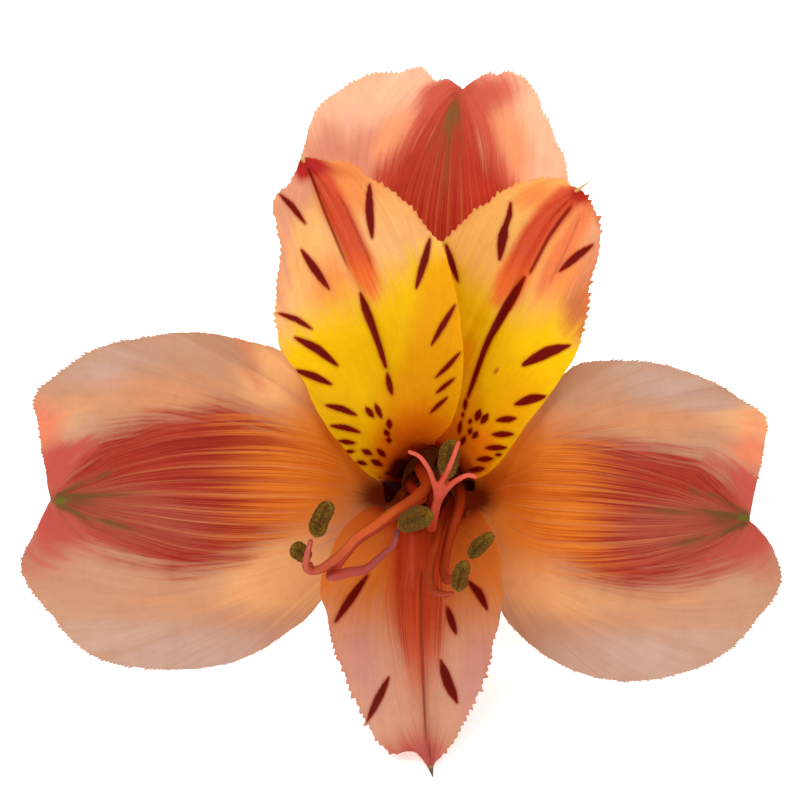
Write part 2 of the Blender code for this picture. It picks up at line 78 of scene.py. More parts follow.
# ------------------------------------------------------------------ rails of the six tepals
# (u, v, d) with u, v in grid steps and d in millimetres; a pair (u, v) takes its
# depth from its neighbours.
TEPALS = {
    "outer_tepal_top": {
        "left": [(-25, 51, -27.5), (-33, 54, -18), (-52, 64, -14.5), (-60, 100, -12.5),
                 (-100, 180, -10), (-125, 260, -7.5), (-134, 330, -6), (-128, 352),
                 (-124, 370), (-112, 392), (-87, 412), (-67, 422), (-52, 426),
                 (-31, 427, -5), (-12, 431), (-2, 422), (4, 418), (15, 420),
                 (24, 414), (29, 411, -6.8)],
        "mid": [(0, 60, -27.5), (0, 66, -18), (2, 85, -14.5), (5, 120, -12.5),
                (10, 200, -9), (15, 290, -6.3), (20, 360, -5.7), (24, 392, -6.2),
                (31, 409, -6.8)],
        "right": [(25, 51, -27.5), (33, 54, -18), (52, 64, -14.5), (60, 100, -12.5),
                  (100, 170, -10), (130, 240, -7.5), (139, 300, -6), (138, 314),
                  (135, 328), (132, 344), (125, 358), (118, 375), (111, 386),
                  (109, 399), (102, 410), (94, 420), (83, 425, -5), (74, 427),
                  (64, 423), (57, 425), (45, 419), (34, 412, -6.8)],
    },
    "outer_tepal_left": {
        "left": [(-21, -14, -27.5), (-37, -34, -18), (-59, -54, -12), (-102, -93, -9),
                 (-125, -121), (-152, -140), (-182, -158), (-217, -170),
                 (-252, -174, -6.9), (-290, -172), (-332, -163), (-357, -147),
                 (-381, -120), (-397, -99), (-409, -81, -3), (-412, -67),
                 (-400, -38), (-387, -13), (-383, -5, -4)],
        "mid": [(-38, 6, -27.5), (-53, -1, -18), (-80, -4, -10.5), (-120, -4, -5.5),
                (-200, -3, -2), (-290, 0, -1.5), (-382, -2, -4)],
        "right": [(-38, 32, -27.5), (-49, 30, -18), (-68, 42, -12), (-90, 85, -9.6),
                  (-120, 120, -7.6), (-142, 142, -5.4), (-177, 155), (-217, 163),
                  (-262, 163), (-302, 157), (-342, 145), (-372, 125),
                  (-397, 102, -1), (-394, 67), (-387, 27), (-383, 2, -4)],
    },
    "outer_tepal_right": {
        "left": [(38, 32, -27.5), (49, 30, -18), (68, 42, -12), (90, 75, -9.5),
                 (118, 105, -7.8), (143, 131, -6), (168, 136), (208, 135),
                 (243, 129), (288, 112), (318, 92), (334, 80, -1), (334, 57),
                 (326, 19), (319, -18, -4)],
        "mid": [(38, 6, -27.5), (53, -1, -18), (80, -6, -10.5), (110, -10, -6),
                (180, -14, -2), (250, -18, -1.5), (318, -22, -4)],
        "right": [(21, -14, -27.5), (37, -34, -18), (59, -54, -12), (66, -103, -9),
                  (73, -121), (98, -148), (123, -165), (158, -180), (193, -185, -4.7),
                  (233, -182), (268, -171), (293, -158), (313, -139), (330, -118),
                  (345, -97), (350, -80, -3), (340, -51), (325, -30), (319, -25, -4)],
    },
    "inner_tepal_upper_left": {
        "left": [(-28, 18, -27.5), (-43, 5, -18), (-52, 15, -12), (-64, 23, -10.2), (-76, 34, -8.7),
                 (-88, 48, -7.2), (-97, 59, -6.1), (-107, 73, -5), (-116, 89), (-125, 109, -3),
                 (-135, 126, -2), (-145, 139),
                 (-152, 151), (-154, 168),
                 (-157, 180), (-157, 200), (-156, 215, 3), (-154, 231), (-151, 245),
                 (-154, 262), (-156, 275, 3.6), (-159, 288), (-156, 302),
                 (-146, 311), (-139, 322), (-132, 336, 1)],
        "mid": [(-23, 36, -27.5), (-28, 42, -20), (-34, 56, -12), (-37, 77, -8),
                (-44, 122, -5), (-57, 172, -1), (-72, 207, 0.8), (-87, 247, 2),
                (-107, 292, 2.2), (-129, 338, 1)],
        "right": [(-7, 47, -27.5), (-4, 50, -18), (4, 57, -11.2), (20, 75, -6.4),
                  (29, 107, -2), (31, 147, 1.5), (28, 177, 3), (24, 203, 3.8),
                  (17, 232, 4.2), (9, 253), (0, 263, 4.5), (-9, 274), (-20, 288),
                  (-38, 304), (-50, 312), (-60, 319), (-75, 330), (-89, 336),
                  (-105, 337), (-118, 339), (-126, 340, 1)],
    },
    "inner_tepal_upper_right": {
        "left": [(7, 47, -27.5), (4, 55, -18), (-6, 68, -13.2), (-14, 82, -10.2),
                 (-20, 110, -6.9), (-24, 157, -4.2), (-19, 202, -2.2), (-3, 240, 0.0),
                 (9, 254, 0.8), (18, 262), (27, 271), (36, 280), (47, 289), (60, 298),
                 (69, 307), (80, 312), (95, 317), (109, 320), (123, 319), (133, 316),
                 (141, 311), (146, 309, 0.8)],
        "mid": [(23, 36, -27.5), (33, 36, -18), (29, 60, -12.5), (33, 97, -8.5),
                (43, 125, -6), (58, 157, -3.5), (73, 189, -1.5), (88, 222, 0),
                (103, 252, 1), (123, 282, 1.4), (148, 307, 0.8)],
        "right": [(28, 18, -27.5), (41, 12, -18), (46, 18, -12), (56, 23), (69, 35), (83, 54),
                  (97, 75), (113, 95), (122, 108), (137, 131, -2.5), (147, 147), (151, 160),
                  (155, 178, 0.5),
                  (158, 195), (159, 210, 1.5), (163, 226), (168, 245, 3), (169, 262),
                  (167, 275, 3), (163, 287), (157, 298), (151, 306, 0.8)],
    },
    "inner_tepal_lower": {
        "left": [(-18, -1, -27.5), (-32, -21, -18), (-60, -10, -10), (-87, -30, -5),
                 (-102, -58, -1.5), (-111, -83, 0.5), (-111, -100, 1.5), (-106, -112),
                 (-100, -143), (-88, -177), (-81, -193, 6.2), (-70, -217), (-64, -228),
                 (-50, -247, 8), (-37, -256), (-17, -254), (-4, -268, 10.7)],
        "mid": [(0, -8, -27.5), (0, -35, -18), (-2, -45, -11), (-4, -70, -6),
                (-6, -110, 0), (-6, -150, 4), (-5, -200, 7), (-3, -245, 9.3),
                (-1, -274, 10.7)],
        "right": [(18, -1, -27.5), (32, -21, -18), (45, -12, -10), (56, -28, -6),
                  (64, -43, -3), (68, -58, -1), (70, -83, 1), (70, -103, 2),
                  (67, -120), (60, -152), (50, -187, 6), (41, -208), (34, -223),
                  (25, -242, 8), (13, -254), (3, -263, 10.2), (1, -270, 10.7)],
    },
}

# ------------------------------------------------------------------ stamens and style
FILAMENTS = {
    1: (120, [(-12, 28, -17), (-8, 18, -7), (-6, 10, -1), (-20, -3, 3.5), (-39, -15, 7),
              (-57, -28, 9), (-75, -40, 10.5), (-88, -54, 11.5), (-100, -65, 12.3),
              (-111, -71, 13), (-120, -73, 13.7), (-125, -69, 14.6), (-125, -62, 15.5),
              (-123, -52, 16.8), (-120.5, -43, 18)]),
    2: (180, [(-22, 12, -17), (-16, 4, -9), (-10, 0, -4), (-20, -7, 0.6), (-39, -18, 4.4),
              (-57, -31, 6.4), (-75, -43, 8), (-88, -58, 9.2), (-97, -71, 10.2),
              (-101, -78, 11.6), (-93, -77, 13), (-83, -74, 14), (-66, -71, 15.2),
              (-54, -61, 16.2), (-45, -53, 17), (-39, -48, 17.6), (-36, -40, 18.1),
              (-35.5, -33, 18.4)]),
    3: (240, [(-24, -3, -17), (-23, -12, -10), (-21, -15, -6), (-28, -17, -2),
              (-39, -17, 1.8), (-57, -30, 4), (-75, -42, 5.6), (-90, -56, 7),
              (-104, -66, 8), (-114, -71, 9.2), (-120, -70, 10.3), (-121, -66, 11)]),
    4: (60, [(12, 28, -18), (12, 16, -8), (11, 8, 0), (12, 9, 6), (14.6, 15.5, 9.8)]),
    5: (0, [(28, 10, -18), (27, -13, -8), (18, -40, -2.5), (13, -62, 2.5), (12, -76, 6.5),
            (16, -82, 9.5), (24, -77, 12), (31, -68, 13.8), (34, -63.5, 14.6)]),
    6: (300, [(19, -6, -18), (9, -25, -7.5), (3, -45, 0.5), (-2, -66, 5), (-3, -83, 8.5),
              (3, -94, 11), (13, -96, 13.4), (20, -95, 15)]),
}
# base end, far end, length across the lobes, thickness of the anthers
ANTHERS = {
    1: ((-116.5, -38.5, 18.6), (-101.5, -3.5, 19.8), 1.80, 1.15),
    2: ((-121.5, -61, 11.6), (-139, -47, 12.4), 1.65, 1.05),
    3: ((-33.5, -28.5, 18.9), (0, -15.5, 21.6), 2.15, 1.30),
    4: ((15, 19, 10.6), (20, 57.5, 11.2), 1.90, 1.15),
    5: ((36.5, -59.5, 15.2), (60.5, -35.5, 16.6), 1.35, 1.00),
    6: ((25, -92.5, 15.9), (33, -63, 18.2), 1.55, 1.05),
}
STYLE_PATH = [(0, 20, -27.2), (0, 10, -20), (0, -8, -10), (-1, -24, 0), (0, -30, 7),
              (2, -17, 12), (6, 0, 15.2)]
STIGMA_LOBES = [
    [(4, -8, 14.0), (4, 6, 16.2), (0.6, 18.4, 17.2), (-5, 31, 18), (-13.4, 41.5, 18.5),
     (-23, 45.8, 18.6)],
    [(5, -5, 14.4), (8, 12, 16.6), (14.6, 25.4, 17.6), (20, 38, 18.4), (26, 55, 19)],
    [(4.5, -6, 14.2), (12, 6, 16.4), (20, 14.5, 17.4), (27, 19, 18.2), (35, 22.5, 18.8),
     (43, 21, 19)],
]


# ------------------------------------------------------------------ curves
def world(p):
    """Flower-frame point (u, v in grid steps, d in millimetres) to world metres."""
    u, v, d = p[0] * GRID, p[1] * GRID, p[2] * MM
    return np.array([u - CENTRE_X,
                     v * math.sin(FACE_TILT) - d * math.cos(FACE_TILT) - CENTRE_Y,
                     v * math.cos(FACE_TILT) + d * math.sin(FACE_TILT) + LIFT])


def face_xy(points):
    """Face coordinates x, y (grid steps) of world points."""
    gy, gz = points[..., 1] + CENTRE_Y, points[..., 2] - LIFT
    v = gy * math.sin(FACE_TILT) + gz * math.cos(FACE_TILT)
    return THROAT_X + (points[..., 0] + CENTRE_X) / GRID, THROAT_Y - v / GRID


OUT = np.array([0.0, -math.cos(FACE_TILT), math.sin(FACE_TILT)])   # out of the face
ACROSS = np.array([1.0, 0.0, 0.0])
UP = np.array([0.0, math.sin(FACE_TILT), math.cos(FACE_TILT)])     # up the face


def with_depths(points):
    flat = np.array([[p[0], p[1]] for p in points], float)
    run = np.concatenate([[0.0], np.cumsum(np.linalg.norm(np.diff(flat, axis=0), axis=1))])
    known = [i for i, p in enumerate(points) if len(p) == 3]
    depth = np.interp(run, [run[i] for i in known], [points[i][2] for i in known])
    return [(flat[i][0], flat[i][1], depth[i]) for i in range(len(points))]


def smooth_path(points, dense=14):
    """Centripetal Catmull-Rom curve through the points."""
    pts = [np.asarray(p, float) for p in points]
    pts = [2 * pts[0] - pts[1]] + pts + [2 * pts[-1] - pts[-2]]
    out = []
    for i in range(1, len(pts) - 2):
        p0, p1, p2, p3 = pts[i - 1:i + 3]
        t0 = 0.0
        t1 = t0 + max(np.linalg.norm(p1 - p0), 1e-9) ** 0.5
        t2 = t1 + max(np.linalg.norm(p2 - p1), 1e-9) ** 0.5
        t3 = t2 + max(np.linalg.norm(p3 - p2), 1e-9) ** 0.5
        for k in range(dense):
            t = t1 + (t2 - t1) * k / dense
            a1 = (t1 - t) / (t1 - t0) * p0 + (t - t0) / (t1 - t0) * p1
            a2 = (t2 - t) / (t2 - t1) * p1 + (t - t1) / (t2 - t1) * p2
            a3 = (t3 - t) / (t3 - t2) * p2 + (t - t2) / (t3 - t2) * p3
            b1 = (t2 - t) / (t2 - t0) * a1 + (t - t0) / (t2 - t0) * a2
            b2 = (t3 - t) / (t3 - t1) * a2 + (t - t1) / (t3 - t1) * a3
            out.append((t2 - t) / (t2 - t1) * b1 + (t - t1) / (t2 - t1) * b2)
    out.append(pts[-2])
    return np.array(out)


def by_length(path, stations):
    run = np.concatenate([[0.0], np.cumsum(np.linalg.norm(np.diff(path, axis=0), axis=1))])
    want = np.asarray(stations) * run[-1]
    return np.stack([np.interp(want, run, path[:, k]) for k in range(3)], axis=1)


def rail(points, stations):
    return by_length(smooth_path([world(p) for p in with_depths(points)], 24), stations)


# ------------------------------------------------------------------ fields
def step(a, b, x):
    """Smooth step from 0 at a to 1 at b (b may be below a)."""
    t = np.clip((x - a) / (b - a), 0.0, 1.0)
    return t * t * (3.0 - 2.0 * t)


def hashed(ix, iy, seed):
    n = (ix.astype(np.int64) * 374761393 + iy.astype(np.int64) * 668265263
         + seed * 974711) & 0x7FFFFFFF
    n = ((n ^ (n >> 13)) * 1274126177) & 0x7FFFFFFF
    n = n ^ (n >> 16)
    return (n & 0xFFFF) / 32767.5 - 1.0


def noise2(x, y, seed=0):
    """Value noise, -1 to 1."""
    x, y = np.broadcast_arrays(np.asarray(x, float), np.asarray(y, float))
    ix, iy = np.floor(x), np.floor(y)
    fx, fy = x - ix, y - iy
    fx, fy = fx * fx * (3 - 2 * fx), fy * fy * (3 - 2 * fy)
    a, b = hashed(ix, iy, seed), hashed(ix + 1, iy, seed)
    c, d = hashed(ix, iy + 1, seed), hashed(ix + 1, iy + 1, seed)
    return (a + (b - a) * fx) * (1 - fy) + (c + (d - c) * fx) * fy


def noise1(x, seed=0):
    return noise2(x, np.zeros_like(x) + 0.5, seed)


def line_distance(x, y, pts):
    """Distance to a polyline, and how far along it (0 to 1) the nearest point is."""
    pts = np.asarray(pts, float)
    seg = np.linalg.norm(np.diff(pts, axis=0), axis=1)
    run = np.concatenate([[0.0], np.cumsum(seg)])
    best = np.full(np.shape(x), 1e9)
    where = np.zeros(np.shape(x))
    for k in range(len(pts) - 1):
        (ax, ay), (bx, by) = pts[k], pts[k + 1]
        h = ((x - ax) * (bx - ax) + (y - ay) * (by - ay)) / max(seg[k] ** 2, 1e-9)
        h = np.clip(h, 0, 1)
        d = np.hypot(x - ax - h * (bx - ax), y - ay - h * (by - ay))
        near = d < best
        best = np.where(near, d, best)
        where = np.where(near, (run[k] + h * seg[k]) / run[-1], where)
    return best, where


def inside(x, y, poly):
    """Signed distance to a closed outline, positive inside."""
    d, _ = line_distance(x, y, list(poly) + [poly[0]])
    odd = np.zeros(np.shape(x), bool)
    n = len(poly)
    for k in range(n):
        (ax, ay), (bx, by) = poly[k], poly[(k + 1) % n]
        if ay == by:
            continue
        cross = (ay > y) != (by > y)
        odd ^= cross & (x < (bx - ax) * (y - ay) / (by - ay) + ax)
    return np.where(odd, d, -d)


def area(x, y, poly, soft):
    """1 well inside the outline, 0 well outside, 0.5 on it, straight in between."""
    return np.clip(0.5 + inside(x, y, poly) / soft, 0.0, 1.0)


def blob(x, y, cx, cy, rx, ry, turn=0.0):
    c, s = math.cos(math.radians(turn)), math.sin(math.radians(turn))
    a, b = (x - cx) * c + (y - cy) * s, -(x - cx) * s + (y - cy) * c
    return np.exp(-(a / rx) ** 2 - (b / ry) ** 2)


def stroke(x, y, pts, width, fade=(0.0, 0.0)):
    """Soft line: 1 on it, falling off over width; fades in and out along its length."""
    d, w = line_distance(x, y, pts)
    m = np.exp(-(d / width) ** 2)
    if fade[0]:
        m = m * step(0.0, fade[0], w)
    if fade[1]:
        m = m * step(1.0, 1.0 - fade[1], w)
    return m


def streaks(x, y, rows):
    """Distance to the nearest spindle-shaped streak, negative inside it."""
    out = np.full(np.shape(x), 8.0)
    for pts, widths in rows:
        d, w = line_distance(x, y, pts)
        if isinstance(widths, (int, float)):
            half = 0.56 * widths * np.clip(np.sin(math.pi * (0.05 + 0.90 * w)), 0, 1) ** 0.75
        else:
            half = 0.56 * np.interp(w, np.linspace(0, 1, len(widths)), widths)
        out = np.minimum(out, d - half)
    return np.clip(out, -6.0, 8.0)


# ------------------------------------------------------------------ meshes
def make_piece(name, verts, faces, attributes, node, sharp=50.0):
    mesh = bpy.data.meshes.new(name)
    mesh.from_pydata(np.asarray(verts, float).tolist(), [], faces)
    mesh.update()
    for key, values in attributes.items():
        layer = mesh.attributes.new(key, "FLOAT", "POINT")
        layer.data.foreach_set("value", np.asarray(values, np.float32).ravel())
    mesh.shade_smooth()
    if sharp:
        mesh.set_sharp_from_angle(angle=math.radians(sharp))
    piece = bpy.data.objects.new(name, mesh)
    bpy.context.scene.collection.objects.link(piece)
    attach(piece, "root")
    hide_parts(node)
    return piece


def face_outwards(piece):
    import bmesh
    bm = bmesh.new()
    bm.from_mesh(piece.data)
    bmesh.ops.recalc_face_normals(bm, faces=bm.faces[:])
    bm.to_mesh(piece.data)
    bm.free()
    piece.data.update()


def frames_along(path):
    tang = np.gradient(path, axis=0)
    tang /= np.linalg.norm(tang, axis=1, keepdims=True)
    start = np.array([1.0, 0.0, 0.0])
    if abs(start @ tang[0]) > 0.9:
        start = np.array([0.0, 0.0, 1.0])
    a = start - (start @ tang[0]) * tang[0]
    a /= np.linalg.norm(a)
    first, second = [], []
    for tg in tang:
        a = a - (a @ tg) * tg
        a /= np.linalg.norm(a)
        first.append(a)
        second.append(np.cross(tg, a))
    return np.array(first), np.array(second), tang


def tube(path, radius, sides, shape=None, cap=3):
    """Closed tube with domed ends: vertices, faces, and t, angle and normal of each vertex."""
    n = len(path)
    a, b, tang = frames_along(path)
    ang = np.linspace(0, 2 * math.pi, sides, endpoint=False)
    t = np.linspace(0, 1, n)
    rings, ts = [], []
    radius = np.asarray(radius, float) * np.ones(n)
    for end in (0, 1):
        if end == 0:
            for k in range(cap, 0, -1):
                q = math.pi / 2 * k / (cap + 1)
                rings.append((path[0] - tang[0] * radius[0] * 0.55 * math.sin(q), a[0], b[0],
                              radius[0] * math.cos(q), 0.0))
            for i in range(n):
                rings.append((path[i], a[i], b[i], radius[i], t[i]))
        else:
            for k in range(1, cap + 1):
                q = math.pi / 2 * k / (cap + 1)
                rings.append((path[-1] + tang[-1] * radius[-1] * 0.9 * math.sin(q), a[-1], b[-1],
                              radius[-1] * math.cos(q), 1.0))
    verts, tt, aa, nn = [], [], [], []
    for centre, fa, fb, r, ti in rings:
        scale = shape(ang, ti) if shape is not None else 1.0
        dirs = np.cos(ang)[:, None] * fa + np.sin(ang)[:, None] * fb
        verts.append(centre + dirs * (r * scale * np.ones(sides))[:, None])
        tt.append(np.full(sides, ti))
        aa.append(ang)
        nn.append(dirs)
    m = len(rings)
    verts = np.concatenate(verts)
    faces = []
    for i in range(m - 1):
        for k in range(sides):
            k2 = (k + 1) % sides
            faces.append((i * sides + k, i * sides + k2, (i + 1) * sides + k2, (i + 1) * sides + k))
    first, last = len(verts), len(verts) + 1
    verts = np.vstack([verts, verts[:sides].mean(0), verts[-sides:].mean(0)])
    for k in range(sides):
        k2 = (k + 1) % sides
        faces.append((k2, k, first))
        faces.append(((m - 1) * sides + k, (m - 1) * sides + k2, last))
    tt = np.concatenate(tt + [[0.0, 1.0]])
    aa = np.concatenate(aa + [[0.0, 0.0]])
    nn = np.vstack(nn + [-tang[0], tang[-1]])
    return verts, faces, tt, aa, nn


def sawtooth(run, pitch, seed):
    """Teeth that lean towards the apex, each a little different: 0 to 1 along the margin."""
    phase = run / pitch + 0.35 * noise1(run / pitch * 0.37, seed)
    k = np.floor(phase)
    f = phase - k
    top = 0.60 + 0.16 * hashed(k, k * 0, seed + 7)
    rise = np.where(f < top, (f / top) ** 1.25, (1 - f) / (1 - top))
    size = 0.66 + 0.42 * hashed(k, k * 0, seed + 5)
    return rise * np.clip(size, 0.10, 1.25)


def blade(name, rows, cols, gather, sign, thick, teeth, relief, paint, spikes=()):
    """Fine closed tepal: thin toothed margin, thicker midrib, relief, and painted masks."""
    rails = TEPALS[name]
    t = np.linspace(0, 1, rows)
    left, mid, right = (rail(rails[k], t) for k in ("left", "mid", "right"))
    lin = np.linspace(-1, 1, cols)
    s = np.sin(gather * lin * math.pi / 2) / math.sin(gather * math.pi / 2)
    wide = (1.0 + teeth.get("claw", 0.0) * step(0.30, 0.08, t))[:, None, None]
    grid = (mid[:, None] + 0.5 * (right - left)[:, None] * s[None, :, None] * wide
            + (0.5 * (right + left) - mid)[:, None] * (s * s)[None, :, None] * wide)
    along = np.gradient(grid, axis=0)
    across = np.gradient(grid, axis=1)
    normal = np.cross(across, along) * sign
    normal /= np.linalg.norm(normal, axis=2, keepdims=True) + 1e-15
    ref = int(rows * 0.955)
    w = step(0.955, 0.985, t)[:, None, None]
    mean = normal[ref, cols // 4:3 * cols // 4].mean(0)
    mean /= np.linalg.norm(mean)
    normal = normal * (1 - w) + mean * w
    normal /= np.linalg.norm(normal, axis=2, keepdims=True)

    T, S = np.broadcast_arrays(t[:, None], s[None, :])
    x, y = face_xy(grid)

    # toothed margins: push the outermost columns out and towards the apex
    for side, j0 in ((-1, 0), (1, cols - 1)):
        edge = grid[:, j0]
        inner = grid[:, j0 - side * 4]
        outward = edge - inner
        outward /= np.linalg.norm(outward, axis=1, keepdims=True) + 1e-12
        ahead = np.gradient(edge, axis=0)
        ahead /= np.linalg.norm(ahead, axis=1, keepdims=True) + 1e-12
        run = np.concatenate([[0.0], np.cumsum(np.linalg.norm(np.diff(edge, axis=0), axis=1))])
        run = run / GRID
        pitch, depth, seed = teeth["pitch"], teeth["depth"], teeth["seed"] + (side > 0) * 31
        saw = sawtooth(run, pitch, seed)
        ragged = 1.0 + 0.40 * noise1(run / 23.0, seed + 9)
        strength = step(teeth["from"], teeth["full"], t) * np.clip(ragged, 0.3, 1.6)
        if "mask" in teeth:
            strength = strength * teeth["mask"](t, side, *face_xy(edge))
        amount = (saw - 0.35) * depth * strength * GRID
        wave = teeth.get("wave", 0.0) * noise1(run / 17.0, seed + 3) * step(0.2, 0.5, t) * GRID
        reach = step(teeth.get("inner", 0.90), 1.0, side * S) ** 1.3
        push = outward * (amount + wave)[:, None] + ahead * (0.45 * amount)[:, None]
        grid = grid + reach[:, :, None] * push[:, None, :]

    lift = relief(T, S, x, y) * MM
    grid = grid + normal * lift[:, :, None]
    half = 0.5 * thick(T, S) * MM
    front = grid + normal * half[:, :, None]
    back = grid - normal * half[:, :, None]
    n, m = rows, cols
    verts = np.concatenate([front.reshape(-1, 3), back.reshape(-1, 3)])

    i, j = np.meshgrid(np.arange(n - 1), np.arange(m - 1), indexing="ij")
    i, j = i.ravel(), j.ravel()
    a, b, c, d = i * m + j, i * m + j + 1, (i + 1) * m + j + 1, (i + 1) * m + j
    o = n * m
    quads = [np.stack([a, b, c, d], 1), np.stack([a + o, d + o, c + o, b + o], 1)]
    k = np.arange(n - 1)
    quads.append(np.stack([k * m, (k + 1) * m, (k + 1) * m + o, k * m + o], 1))
    k = k * m + m - 1
    quads.append(np.stack([k + m, k, k + o, k + m + o], 1))
    k = np.arange(m - 1)
    quads.append(np.stack([k + 1, k, k + o, k + 1 + o], 1))
    k = (n - 1) * m + np.arange(m - 1)
    quads.append(np.stack([k, k + 1, k + 1 + o, k + o], 1))
    faces = np.concatenate(quads)
    if sign < 0:
        faces = faces[:, ::-1]
    faces = faces.tolist()

    fan = S / (1.0 + teeth["fan"] * T * np.abs(S))       # veins splay from the middle to the margin
    masks = {"t": T, "s": S, "q": fan, "edge": step(0.93, 1.0, np.abs(S))}
    masks.update(paint(x, y, T, S))
    attributes = {}
    for key, val in masks.items():                 # the throat's painted shade and painted violet reflection are on the inner face only
        val = np.broadcast_to(val, T.shape).ravel()
        attributes[key] = np.concatenate([val, val * (0.0 if key in ("dark", "violet") else 1.0)])

    # small horny points at the apex
    for base, tip, r0 in spikes:
        p0, p1 = world(base), world(tip)
        path = p0 + (p1 - p0) * np.linspace(0, 1, 14)[:, None]
        bend = np.sin(np.linspace(0, math.pi, 14))[:, None] * OUT * 0.12 * MM
        sv, sf, st, _, _ = tube(path + bend, r0 * MM * (1 - 0.86 * np.linspace(0, 1, 14) ** 0.8), 14)
        base_index = len(verts)
        verts = np.vstack([verts, sv])
        faces += [tuple(v + base_index for v in f) for f in sf]
        for key in attributes:
            fill = np.zeros(len(sv))
            if key == "t":
                fill[:] = 1.0
            elif key == "streak":
                fill[:] = 8.0
            elif key == "point":
                fill[:] = 0.25 + 0.75 * st
            attributes[key] = np.concatenate([attributes[key], fill])
    verts[:, 2] = np.maximum(verts[:, 2], 0.00001)
    return verts, faces, attributes


# ------------------------------------------------------------------ materials
GAIN = 1.12        # light on the face, so a finish is its seen colour over this


def seen(r, g, b, gain=None):
    """Linear surface colour that shows as the 8-bit colour r, g, b under the studio light."""
    out = []
    for c in (r, g, b):
        c = c / 255.0
        lin = c / 12.92 if c <= 0.04045 else ((c + 0.055) / 1.055) ** 2.4
        out.append(min(0.97, lin / (gain or GAIN)))
    return (*out, 1.0)


class Graph:
    """Small helper that adds nodes to one material."""

    def __init__(self, name):
        self.mat = bpy.data.materials.new(name)
        self.mat.use_nodes = True
        self.tree = self.mat.node_tree
        for node in list(self.tree.nodes):
            self.tree.nodes.remove(node)
        self.out = self.tree.nodes.new("ShaderNodeOutputMaterial")

    def plug(self, socket, value):
        if hasattr(value, "is_output"):
            self.tree.links.new(value, socket)
        else:
            socket.default_value = value

    def attribute(self, name):
        node = self.tree.nodes.new("ShaderNodeAttribute")
        node.attribute_type = "GEOMETRY"
        node.attribute_name = name
        return node.outputs["Fac"]

    def math(self, op, a, b=0.0, c=0.0, clamp=False):
        node = self.tree.nodes.new("ShaderNodeMath")
        node.operation = op
        node.use_clamp = clamp
        for socket, value in zip(node.inputs, (a, b, c)):
            self.plug(socket, value)
        return node.outputs[0]

    def vector(self, x, y, z):
        node = self.tree.nodes.new("ShaderNodeCombineXYZ")
        for socket, value in zip(node.inputs, (x, y, z)):
            self.plug(socket, value)
        return node.outputs[0]

    def noise(self, vector, scale, detail=2.0, rough=0.5):
        node = self.tree.nodes.new("ShaderNodeTexNoise")
        self.plug(node.inputs["Vector"], vector)
        node.inputs["Scale"].default_value = scale
        node.inputs["Detail"].default_value = detail
        node.inputs["Roughness"].default_value = rough
        return node.outputs["Fac"]

    def cells(self, vector, scale, feature="F1"):
        node = self.tree.nodes.new("ShaderNodeTexVoronoi")
        node.feature = feature
        self.plug(node.inputs["Vector"], vector)
        node.inputs["Scale"].default_value = scale
        return node.outputs["Distance"]

    def place(self):
        node = self.tree.nodes.new("ShaderNodeTexCoord")
        return node.outputs["Object"]

    def ramp(self, value, lo, hi, to_lo=0.0, to_hi=1.0, smooth=True):
        node = self.tree.nodes.new("ShaderNodeMapRange")
        node.interpolation_type = "SMOOTHSTEP" if smooth else "LINEAR"
        node.clamp = True
        self.plug(node.inputs["Value"], value)
        node.inputs["From Min"].default_value = lo
        node.inputs["From Max"].default_value = hi
        node.inputs["To Min"].default_value = to_lo
        node.inputs["To Max"].default_value = to_hi
        return node.outputs["Result"]

    def mix(self, fac, a, b, blend="MIX"):
        node = self.tree.nodes.new("ShaderNodeMix")
        node.data_type = "RGBA"
        node.blend_type = blend
        node.clamp_factor = True
        self.plug(node.inputs[0], fac)
        self.plug(node.inputs[6], a)
        self.plug(node.inputs[7], b)
        return node.outputs[2]

    def bump(self, height, strength, distance):
        node = self.tree.nodes.new("ShaderNodeBump")
        node.inputs["Strength"].default_value = strength
        node.inputs["Distance"].default_value = distance
        self.plug(node.inputs["Height"], height)
        return node.outputs["Normal"]

    def gamma(self, colour, power):
        node = self.tree.nodes.new("ShaderNodeGamma")
        self.plug(node.inputs["Color"], colour)
        node.inputs["Gamma"].default_value = power
        return node.outputs["Color"]

    def finish(self, colour, rough, normal=None, translucent=None, share=0.5, specular=0.35,
               sheen=0.0, coat=0.0):
        body = self.tree.nodes.new("ShaderNodeBsdfPrincipled")
        self.plug(body.inputs["Base Color"], colour)
        self.plug(body.inputs["Roughness"], rough)
        body.inputs["Metallic"].default_value = 0.0
        body.inputs["Specular IOR Level"].default_value = specular
        if sheen:
            body.inputs["Sheen Weight"].default_value = sheen
            body.inputs["Sheen Roughness"].default_value = 0.5
        if coat:
            body.inputs["Coat Weight"].default_value = coat
            body.inputs["Coat Roughness"].default_value = 0.25
        if normal is not None:
            self.tree.links.new(normal, body.inputs["Normal"])
        result = body.outputs[0]
        if translucent is not None:
            glow = self.tree.nodes.new("ShaderNodeBsdfTranslucent")
            self.plug(glow.inputs["Color"], translucent)
            if normal is not None:
                self.tree.links.new(normal, glow.inputs["Normal"])
            both = self.tree.nodes.new("ShaderNodeMixShader")
            both.inputs[0].default_value = share
            self.tree.links.new(result, both.inputs[1])
            self.tree.links.new(glow.outputs[0], both.inputs[2])
            result = both.outputs[0]
        self.tree.links.new(result, self.out.inputs["Surface"])
        return self.mat


